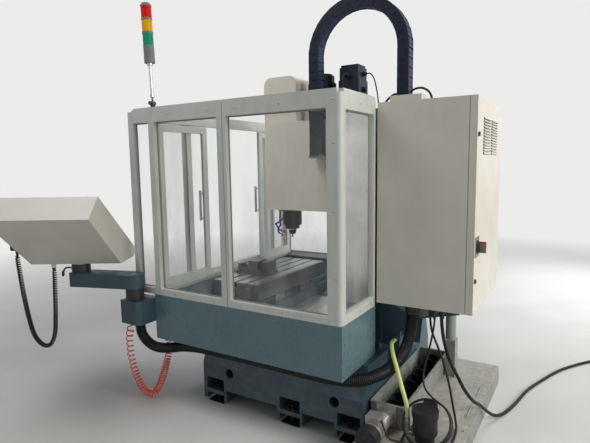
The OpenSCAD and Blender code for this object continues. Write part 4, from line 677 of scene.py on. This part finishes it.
def add_motor_leads():
    """Cables of the auger's motor, the Z motor and the drag chain."""
    # Loops that lean on the pump's terminal box, as steep as 0.2 m of height on 0.28 m of cable
    slope = asin(0.2 / 0.28)
    across = Vector((cos(slope), 0, -sin(slope)))
    normal = Vector((sin(slope), 0, cos(slope)))
    centre = Vector((0.642, 1.02, 0.2485))
    route = list(MOTOR_ROUTE)
    steps = 40
    for k in range(steps + 1):
        angle = radians(20 + 22 * k)
        radius = 0.14 - 0.006 * k / steps
        turn = across * -cos(angle) * radius + BACK * sin(angle) * radius
        route.append(tuple(centre + turn + normal * 0.032 * k / steps))
    lead("auger_motor_cable", route + MOTOR_END, 0.012)
    for name, diameter, path in SHORT_LEADS:
        lead(name, path, diameter)


def add_coolant_hose():
    """The pale yellow hose from the pump to the base."""
    line = smooth(COOLANT_ROUTE, 0.008)
    hose = tube("coolant_supply_hose", line, 0.026, YELLOW, "frame", 5)
    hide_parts("coolant_hose")


PLAIN_NODES = (
    (CAST, "base_casting column_casting saddle_casting"), (BLACKED, "leveling_pads tool_holder"),
    (GROUND, "guide_rails x_ball_screw y_ball_screw z_ball_screw"), (PAN, "chip_pan"),
    (MOTOR, "axis_servo_motors x_servo_motor spindle_motor"), (WINDOW, "window_panes"),
    (FRAME, "right_side_frames left_side_frames end_frames"), (TANK, "coolant_tank"),
    (SHEET, "splash_panels saddle_covers way_plates_a way_plates_b"), (LID, "tank_lid"),
    (PANEL, "tower_base console_panel override_knob mpg_box"), (RED, "power_plug estop_button"),
    (TURNED, "vise_screw spindle_shaft mpg_dial"), (TABLE, "work_table"), (VISE, "vise_jaw"),
    (HEAD, "head_casting"), (CREAM, "head_cover"), (NOSE, "spindle_cartridge"), (CONSOLE, "console_housing"),
)


def dress_frame():
    """Finishes of the CAD nodes that show as they are."""
    for finish, nodes in PLAIN_NODES:
        for node in nodes.split():
            dress(node, finish)
    dress("cabinet_bracket", CAST,
          (TANK, (-0.6, 0.8, 0.02), (-0.2, 1.0, 0.9)), (TANK, (0.2, 0.8, 0.02), (0.5, 1.0, 0.9)))
    dress("cabinet_shell", CABINET, (PANEL, (0.2, 0.7, 0.7), (0.42, 1.1, 0.8515)))
    # The mounting plate, two light housings and three wiring ducts
    dress("cabinet_equipment", DRIVE, (ZINC, (-0.4, 0.6, 0.85), (0.4, 0.6335, 2.2)),
          (SHEET, (0.079, 0.6335, 0.929), (0.321, 0.801, 1.131)),
          (SILVER, (0.079, 0.6335, 1.599), (0.331, 0.781, 1.881)),
          *[(GASKET, (-0.35, 0.6335, z - 0.001), (0.35, 0.6905, z + 0.041)) for z in (1.25, 1.47, 1.94)])
    dress("tank_motors", SILVER,
          (COWL, (0.85, 0.6, 0.1), (1.0, 0.9, 0.4)), (COWL, (0.5, 0.93, 0.1521), (0.8, 1.1, 0.4)))
    dress("pendant_bracket", CAST, (PANEL, (0.88, -1.1, 0.8), (1.06, -0.9, 0.884)))
    for node, side in (("door_right", 1), ("door_left", -1)):
        low_x, high_x = sorted((0.4 * side, 0.8 * side))
        grip = sorted((0.355 * side, 0.395 * side))
        dress(node, FRAME, (WINDOW, (low_x - 0.01, -0.848, 0.93), (high_x + 0.01, -0.84, 1.995)),
              (HANDLE, (grip[0], -0.93, 1.3), (grip[1], -0.857, 1.56)))
    # The switch's plate, two locks, the hinges, and painted shade on the louvres: dark grey on their ends,
    # black in their slots and on their undersides
    dress("cabinet_door", CABINET, (ZINC, (0.28, 1.2051, 1.18), (0.395, 1.22, 1.32)),
          (PANEL, (0.36, 1.2051, 1.0), (0.39, 1.22, 1.1)), (PANEL, (0.36, 1.2051, 1.85), (0.39, 1.22, 1.95)),
          (STEEL, (-0.45, 1.1, 0.9), (-0.4051, 1.2, 2.1)),
          # Painted shade on the louvres' ends
          (PAINTED_SHADE, (0.2295, 1.2045, 1.78), (0.2305, 1.2145, 2.02)),
          (PAINTED_SHADE, (-0.0205, 1.2045, 1.78), (-0.0195, 1.2145, 2.02)),
          # Painted shade: black in the louvres' slots and on their undersides
          (PANEL, (-0.23, 1.19, 1.78), (0.23, 1.2049, 2.02)),
          *[(PANEL, (-0.24, 1.2045, 1.7895 + 0.017 * k), (0.24, 1.2145, 1.7905 + 0.017 * k))
            for k in range(13)])
    dress("switch_handle", SWITCH_GREY, (PANEL, (0.3, 1.17, 1.2), (0.38, 1.2252, 1.3)),
          (RED, (0.32, 1.2253, 1.2735), (0.36, 1.27, 1.3)), (RED, (0.32, 1.257, 1.2), (0.36, 1.27, 1.3)))
    dress("vise_body", VISE, (GROUND, (-0.2, -0.5, 1.12), (0.2, 0.2, 1.3)))
    dress("coolant_nozzles", HOSE_BLUE, (BRASS, (-0.1, -0.5, 1.355), (0.1, -0.2, 1.5)))
    dress("pendant_arm", CAST, (PANEL, (0.8, -1.6, 0.9855), (1.3, -1.2, 1.2)))
    dress("tower_stack", PALE, (TURNED, (0, -1, 2.225), (1, 0, 2.445)))
    dress("tower_lenses", LENS_RED,
          (LENS_GREEN, (0, -1, 2.5), (1, 0, 2.647)), (LENS_AMBER, (0, -1, 2.647), (1, 0, 2.737)))


def add_floor():
    """A pale floor that fades into the pale surroundings."""
    finish = Finish("studio_floor", 0.75)
    patches = finish.spots(1.5, 6, 0.35, 0.65)
    finish.feed({"Base Color": finish.mix(patches, color(214, 213, 210), color(222, 221, 218))})
    glow = finish.node("Emission", {"Color": STUDIO})
    distance = finish.node("VectorMath", {0: finish.place})
    distance.operation = "LENGTH"
    fade = finish.remap(distance.outputs["Value"], 3.0, 9.0, 0, 1)
    rays = finish.node("LightPath", {})
    finish.cover(finish.times(fade, rays.outputs["Is Camera Ray"]), glow)
    reach = 60
    data = bpy.data.meshes.new("floor")
    data.from_pydata([(-reach, -reach, 0), (reach, -reach, 0), (reach, reach, 0), (-reach, reach, 0)],
                     [], [(0, 1, 2, 3)])
    data.materials.append(finish.material)
    floor = show("floor", data)


def add_surroundings():
    """Faint light from all round; the camera, the panes and shiny faces see the pale studio instead."""
    world = bpy.data.worlds.new("surroundings")
    world.use_nodes = True
    nodes, links = world.node_tree.nodes, world.node_tree.links
    light = nodes["Background"]
    light.inputs["Color"].default_value = (0.93, 0.96, 1.0, 1)
    light.inputs["Strength"].default_value = 0.16
    pale = nodes.new("ShaderNodeBackground")
    pale.inputs["Color"].default_value = STUDIO
    rays = nodes.new("ShaderNodeLightPath")
    seen = rays.outputs["Is Camera Ray"]
    for kind in ("Is Transmission Ray", "Is Glossy Ray"):
        either = nodes.new("ShaderNodeMath")
        either.operation = "MAXIMUM"
        links.new(seen, either.inputs[0])
        links.new(rays.outputs[kind], either.inputs[1])
        seen = either.outputs[0]
    mix_shaders(world.node_tree, seen, light, pale, "World Output")
    scene.world = world


def add_lamps():
    """Four soft lamps; the one on the far side leaves no reflection."""
    add_lamp("key_lamp", (0.6, 6.4, 3.4), (0.3, 0.2, 0.9), 3.2, 255, (1.0, 0.97, 0.92))
    far = add_lamp("far_side_lamp", (-5.2, 2.9, 2.9), (0, 0, 1.1), 3.2, 250, (0.95, 0.97, 1.0))
    far.visible_glossy = False
    add_lamp("top_lamp", (1.9, -1.2, 5.2), (0.1, -0.2, 1.2), 2.4, 82, (0.97, 0.98, 1.0))
    add_lamp("front_lamp", (4.6, -4.6, 3.2), (0.2, -0.4, 1.0), 3.0, 8, (0.95, 0.97, 1.0))


def add_lamp(name, place, target, size, power, tone):
    """A square soft lamp that faces a point."""
    data = bpy.data.lights.new(name, "AREA")
    data.shape = "SQUARE"
    data.size = size
    data.energy = power
    data.color = tone
    lamp = show(name, data)
    lamp.location = place
    lamp.rotation_euler = (Vector(target) - Vector(place)).to_track_quat("-Z", "Y").to_euler()
    return lamp


def chain_place(distance):
    """Y, height and turn of the drag chain's line at a distance from its end on the cabinet."""
    rise = CHAIN_CROWN - CHAIN_FOOT[1]
    arc = pi * CHAIN_BEND
    if distance < rise:
        return CHAIN_FOOT[0], CHAIN_FOOT[1] + distance, 0.0
    if distance < rise + arc:
        angle = (distance - rise) / CHAIN_BEND
        return CHAIN_MIDDLE + CHAIN_BEND * cos(angle), CHAIN_CROWN + CHAIN_BEND * sin(angle), angle
    return CHAIN_HEAD[0], CHAIN_CROWN - (distance - rise - arc), pi


def add_drag_chain():
    """The drag chain, link by link, from the cabinet to the head."""
    piece = Piece("drag_chain_links")
    count = 34
    step = (CHAIN_CROWN - CHAIN_FOOT[1] + pi * CHAIN_BEND + CHAIN_CROWN - CHAIN_HEAD[1]) / count
    half = step / 2
    for i in range(count):
        y, z, angle = chain_place((i + 0.5) * step)
        piece.spot = Matrix.Translation((CHAIN_X, y, z)) @ Matrix.Rotation(angle, 4, "X")
        for side in (-1, 1):
            # Side plates overlap like roof tiles
            piece.box((side * 0.0395, -0.0375, -half - 0.0045), (side * 0.0435, 0.0375, half + 0.0045),
                      CHAIN, Matrix.Rotation(side * 0.03, 3, "Y"))
            piece.rod((side * 0.042, 0, half - 0.004), (side * 0.0465, 0, half - 0.004), 0.009, CHAIN)
        for out in (-1, 1):
            # A crossbar, the bar that covers the gap to the next, and two pads
            piece.box((-0.04, out * 0.031, 0.005 - half), (0.04, out * 0.0362, half - 0.005), CHAIN_EDGE)
            piece.box((-0.039, out * 0.028, half - 0.012), (0.039, out * 0.033, half + 0.012), CHAIN)
            for u in (-0.026, 0.026):
                piece.box((u - 0.004, out * 0.036, -0.008), (u + 0.004, out * 0.0372, 0.008), CHAIN)
        piece.box((-0.001, -0.031, -0.014), (0.001, 0.031, 0.006), CHAIN_EDGE)
    piece.spot = Matrix.Identity(4)
    for y, z in (CHAIN_FOOT, CHAIN_HEAD):
        piece.box((0.19, y - 0.045, z), (0.27, y + 0.045, z + 0.009), ZINC)
        for x in (0.2, 0.26):
            for side in (-0.037, 0.037):
                piece.rod((x, y + side, z + 0.008), (x, y + side, z + 0.014), 0.005, BLACKED, sides=6)
    made = piece.done(None, 0.0012)
    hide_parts("drag_chain")
    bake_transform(made)


def gasket(piece, low, high, across):
    """Four strips along the inside of an upright rectangle, which runs along the axis across."""
    width = 0.008
    for axis in (2, across):
        for first in (True, False):
            start, end = list(low), list(high)
            if first:
                end[axis] = low[axis] + width
            else:
                start[axis] = high[axis] - width
            piece.box(start, end, GASKET)


def add_gaskets():
    """Grey rubber strips round the glazing, and the seams between the front and rear side frames."""
    piece = Piece("window_gaskets")
    for side in (-1, 1):
        for y0, y1 in ((-1.04, -0.886), (-0.835, -0.271), (-0.2, 0.508)):
            gasket(piece, (side * 0.8555, y0, 0.873), (side * 0.861, y1, 2.05), 1)
        x0, x1 = sorted((side * 0.437, side * 0.836))
        gasket(piece, (x0, 0.5655, 0.887), (x1, 0.571, 2.042), 0)
        piece.box((side * 0.8895, -0.2266, 0.829), (side * 0.8904, -0.2234, 2.13), SEAL)
    piece.done("frame", 0.0008, 1)


def add_frame_screws():
    """Slotted screws in the side frames, and screws in the rear frames."""
    screws = Piece("frame_screws")
    spots = [(y, 2.094) for y in (-1.05, -0.7, -0.34, -0.12, 0.2, 0.55)]
    spots += [(y, 0.85) for y in (-1.0, -0.7, -0.34, -0.12, 0.2, 0.52)]
    spots += [(0.552, z) for z in (1.1, 1.48, 1.86)]
    for side in (-1, 1):
        outside = side * 0.8898
        slot = outside + side * 0.0027
        for y, z in spots:
            screws.turned((outside, y, z), (side, 0, 0), FRAME_SCREW + [(0.003, 0.0005)], ZINC, 16)
            # Each slot is a thin black bar: painted shade of the groove
            screws.box((slot - 0.0008, y - 0.003, z - 0.0006), (slot + 0.0008, y + 0.003, z + 0.0006), SEAL)
        for x in (0.47, 0.64, 0.8):
            for z in (0.857, 2.086):
                screws.turned((side * x, 0.5998, z), BACK, FRAME_SCREW, ZINC, 16)
    screws.done("frame", 0)


def add_cabinet_parts():
    """Hinge pins, lock inserts, the switch's ring and marks, the door's seal, glands and clamp rings."""
    hinges = Piece("cabinet_hinge_pins")
    for z in (0.96, 1.47, 1.98):
        hinges.turned((-0.413, 1.16, z - 0.004), UP,
                      [(0, 0.003), (0.002, 0.0045), (0.066, 0.0045), (0.068, 0.003)], ZINC, 16)
    hinges.done("frame", 0)

    door = Piece("cabinet_door_fittings")
    for z in (1.05, 1.9):
        door.turned((0.375, 1.2105, z), BACK, [(0, 0.014), (0.003, 0.0135), (0.0045, 0.011)], PANEL, 24)
        door.box((0.3725, 1.2145, z - 0.0075), (0.3775, 1.2165, z + 0.0075), ZINC)
    for x in (-0.24, 0, 0.24):
        door.turned((x, 1.2048, 1.14), BACK, [(0, 0.004), (0.0015, 0.0035), (0.002, 0.001)], ZINC, 12)
    # Ring, position marks and screws round the main switch
    door.ring((0.34, 1.2106, 1.25), BACK, 0.04, 0.0022, PANEL, 48, 8)
    for turn in (0, pi / 2):
        x = 0.34 + 0.0445 * sin(turn)
        z = 1.25 + 0.0445 * cos(turn)
        door.rod((x, 1.2098, z), (x, 1.2112, z), 0.0022, WHITE, sides=12)
    for x in (0.303, 0.377):
        for z in (1.2, 1.3):
            door.turned((x, 1.2098, z), BACK, [(0, 0.0042), (0.0015, 0.004), (0.0025, 0.002)], ZINC, 12)
    door.done("cabinet_door", 0.0005)

    seal = Piece("cabinet_door_seal")
    for x0, x1 in ((-0.4, -0.392), (0.392, 0.4)):
        seal.box((x0, 1.1598, 0.857), (x1, 1.1632, 2.11), SEAL)
    for z0, z1 in ((0.857, 0.865), (2.102, 2.11)):
        seal.box((-0.4, 1.1598, z0), (0.4, 1.1632, z1), SEAL)
    seal.done("frame", 0)

    glands = Piece("cabinet_cable_glands")
    for route, radius, wall in ((CONDUIT_ROUTE, 0.0375, 0.01), (POWER_ROUTE, 0.011, 0.007),
                                (PUMP_ROUTE, 0.007, 0.007), (MOTOR_ROUTE, 0.006, 0.007)):
        x, y, _ = route[0]
        nut = radius + wall
        profile = [(0, nut + 0.006), (0.008, nut + 0.006), (0.0081, nut), (0.03, nut), (0.034, nut - 0.003)]
        glands.turned((x, y, 0.8515), -UP, profile, PANEL, 12)
        profile = [(0, nut - 0.002), (0.012, nut - 0.003), (0.03, radius + 0.0008)]
        glands.turned((x, y, 0.8175), -UP, profile, SEAL)
    profile = [(0, 0.016), (0.006, 0.016), (0.0061, 0.012), (0.018, 0.011)]
    glands.turned((0.272, 0.91, 2.1148), UP, profile, PANEL, 12)
    glands.done("frame")

    rings = Piece("conduit_clamp_ring")
    rings.ring((0.322, 0.822, 0.795), UP, 0.0385, 0.0035, PANEL, 40, 8)
    rings.ring((0.912, -1.045, 0.606), UP, 0.0395, 0.004, PANEL, 40, 8)
    rings.done("frame", 0)


def add_auger():
    """The chip auger in the tank's trough."""
    piece = Piece("chip_auger")
    piece.rod((-0.39, AUGER_Y, AUGER_Z), (0.598, AUGER_Y, AUGER_Z), 0.017, BLACKED)
    # The blade's section as (x, radius), thicker at the shaft
    section = [(-0.002, 0.016), (-0.0015, 0.054), (0.0015, 0.054), (0.002, 0.016)]
    turns = 9
    count = 324
    rows = []
    for i in range(count + 1):
        share = i / count
        angle = 2 * pi * turns * share
        out = Vector((0, cos(angle), sin(angle)))
        middle = Vector((-0.37 + 0.95 * share, AUGER_Y, AUGER_Z))
        rows.append(piece.row([middle + out * radius + Vector((x, 0, 0)) for x, radius in section]))
    piece.skin(rows, BLACKED)
    piece.done("frame", 0)


def add_lid_parts():
    """Grips over the lid's hand slots, and the lid's screws."""
    grips = Piece("lid_hand_grips")
    for side in (-1, 1):
        x0, x1 = sorted((side * 0.062, side * 0.258))
        grips.box((x0, 1.1455, 0.1345), (x1, 1.1645, 0.1385), LID)
        grips.rod((x0 + 0.012, 1.155, 0.1405), (x1 - 0.012, 1.155, 0.1405), 0.0035, LID, sides=12)
    profile = [(0, 0.009), (0.0015, 0.009), (0.0016, 0.0065), (0.005, 0.006)]
    for x, y in ((-0.66, 0.68), (-0.66, 1.18), (0, 1.18), (0.42, 1.18), (0.88, 1.18), (0.88, 0.68),
                 (0.64, 0.68)):
        grips.turned((x, y, 0.1398), UP, profile, ZINC, 6)
    grips.done("frame")


def add_console_parts():
    """Screen, keys, collars and scales of the console, the swivel's clamp lever and small screws."""
    panel = Piece("control_panel_keys", FACE_PLACE)
    for k in range(4):
        for j in range(7):
            panel.box((0.161 + k * 0.032, 0.067 + j * 0.04, 0.002),
                      (0.183 + k * 0.032, 0.091 + j * 0.04, 0.0062), WHITE if k < 3 else BLUE_KEY)
    for k in range(16):
        for j in range(4):
            tone = BLUE_KEY if k > 12 else WHITE
            if j == 3 and k < 3:
                tone = TAG_YELLOW
            panel.box((-0.269 + k * 0.034, 0.391 + j * 0.038, 0.002),
                      (-0.247 + k * 0.034, 0.415 + j * 0.038, 0.0062), tone)
    for k, first in enumerate((GREEN_KEY, RED, WHITE, WHITE, WHITE, WHITE, BLUE_KEY, BLUE_KEY)):
        for y0, y1, tone in ((0.641, 0.663, first), (0.701, 0.723, WHITE)):
            panel.box((-0.119 + k * 0.03, y0, 0.003), (-0.099 + k * 0.03, y1, 0.0072), tone)
    panel.done("console", 0.0018, 3)

    trim = Piece("control_panel_trim", FACE_PLACE)
    trim.turned((-0.225, 0.7, -0.0018), UP, [(0, 0.042), (0.004, 0.041), (0.0055, 0.036)], TAG_YELLOW, 40)
    trim.ring((0.17, 0.7, 0.0), UP, 0.034, 0.0016, WHITE, 48, 8)
    mark = Vector((0.001, 0.001, 0.001))
    for k in range(19):
        angle = radians(-135 + 15 * k)
        middle = Vector((0.17, 0.7, 0)) + Vector((sin(angle), cos(angle), 0)) * 0.031
        trim.box(middle - mark, middle + mark, WHITE)
    spots = [(u, v) for u in (-0.29, 0, 0.29) for v in (0.032, 0.798)]
    spots += [(u, v) for u in (-0.29, 0.29) for v in (0.29, 0.55)]
    for u, v in spots:
        trim.turned((u, v, -0.003), UP, PANEL_SCREW, ZINC, 12)
    trim.done("console", 0.0004)

    screen = Piece("control_screen", FACE_PLACE)
    screen.box((-0.189, 0.086, -0.0032), (0.109, 0.324, -0.0012), SCREEN)
    screen.done("console", 0.0005)

    lever = Piece("swivel_clamp_lever")
    start = Vector((1.142, -1.47, 1.012))
    bends = [(0, 0, 0), (0.016, -0.025, 0.004), (0.028, -0.046, 0), (0.036, -0.06, -0.018),
             (0.039, -0.065, -0.05)]
    route = smooth([start + Vector(bend) for bend in bends], 0.006)
    lever.sweep(route, [(0.0065 * a, 0.0065 * b) for a, b in circle(12)], PANEL)
    lever.rod(start - Vector((0.01, -0.016, 0)), start + Vector((0.008, -0.012, 0)), 0.012, ZINC)
    lever.turned(route[-1] + Vector((0, 0, 0.03)), (0.03, -0.05, -1),
                 [(0, 0.0068), (0.01, 0.0095), (0.035, 0.0095), (0.042, 0.006)], PANEL, 16)
    lever.done("pendant_arm")

    box = Piece("handwheel_box_fittings", CONSOLE_PLACE)
    for a, b in circle(20):
        y = -0.205 + 0.036 * b
        z = 1.243 + 0.036 * a
        box.box((-0.3685, y - 0.001, z - 0.001), (-0.3665, y + 0.001, z + 0.001), WHITE)
    for y in (-0.24, -0.17):
        for z in (1.195, 1.34):
            box.turned((-0.3665, y, z), (-1, 0, 0), [(0, 0.0035), (0.0015, 0.003)], ZINC, 12)
    # Rubber sleeves at both ends of the curled cord
    box.turned((-0.345, -0.205, 1.1645), -UP, [(0, 0.0095), (0.012, 0.0085), (0.03, 0.006)], SEAL, 20)
    box.turned((-0.172, -0.06, 1.031), -UP, [(0, 0.013), (0.014, 0.012), (0.03, 0.0065)], SEAL, 20)
    box.done("console", 0.0005)


def add_nozzle_tips():
    """Red tips of the two coolant nozzles."""
    tips = Piece("coolant_nozzle_tips")
    for spot in ((-0.022, -0.37, 1.206), (0.014, -0.366, 1.188)):
        tips.turned(spot, (0.25, 0.8, -0.55), [(0, 0.0075), (0.012, 0.0075), (0.03, 0.0035)], RED, 16)
    tips.done("head", 0.0004)


def add_motor_parts():
    """Plugs on the Z motor, and ribs and screws on the auger's gear motor."""
    plugs = Piece("servo_motor_plugs")
    profile = [(0, 0.017), (0.012, 0.017), (0.0121, 0.0145), (0.045, 0.0145), (0.05, 0.009), (0.062, 0.007)]
    for x, z in ((0.081, 2.2), (0.075, 2.36)):
        plugs.turned((x, 0.262, z), (1, 0, 0), profile, MOTOR, 20)
    plugs.done("frame")

    ribs = Piece("gear_motor_ribs")
    for k in range(9):
        ribs.ring((0.672 + 0.009 * k, AUGER_Y, AUGER_Z), (1, 0, 0), 0.05, 0.0022, SILVER, 48, 6)
    for a, b in circle(12):
        y = AUGER_Y + 0.05 * a
        z = AUGER_Z + 0.05 * b
        ribs.rod((0.93, y, z), (0.9325, y, z), 0.006, SEAL, sides=12)
    ribs.done("frame", 0)


add_camera()
add_conduit()
add_air_hose()
add_handwheel_cord()
add_mains_cable()
add_pump_cable()
add_coolant_hose()
add_motor_leads()
dress_frame()
add_drag_chain()
add_gaskets()
add_frame_screws()
add_cabinet_parts()
add_auger()
add_lid_parts()
add_console_parts()
add_nozzle_tips()
add_motor_parts()
add_floor()
add_surroundings()
add_lamps()

bpy.context.scene.view_settings.view_transform = "Standard"
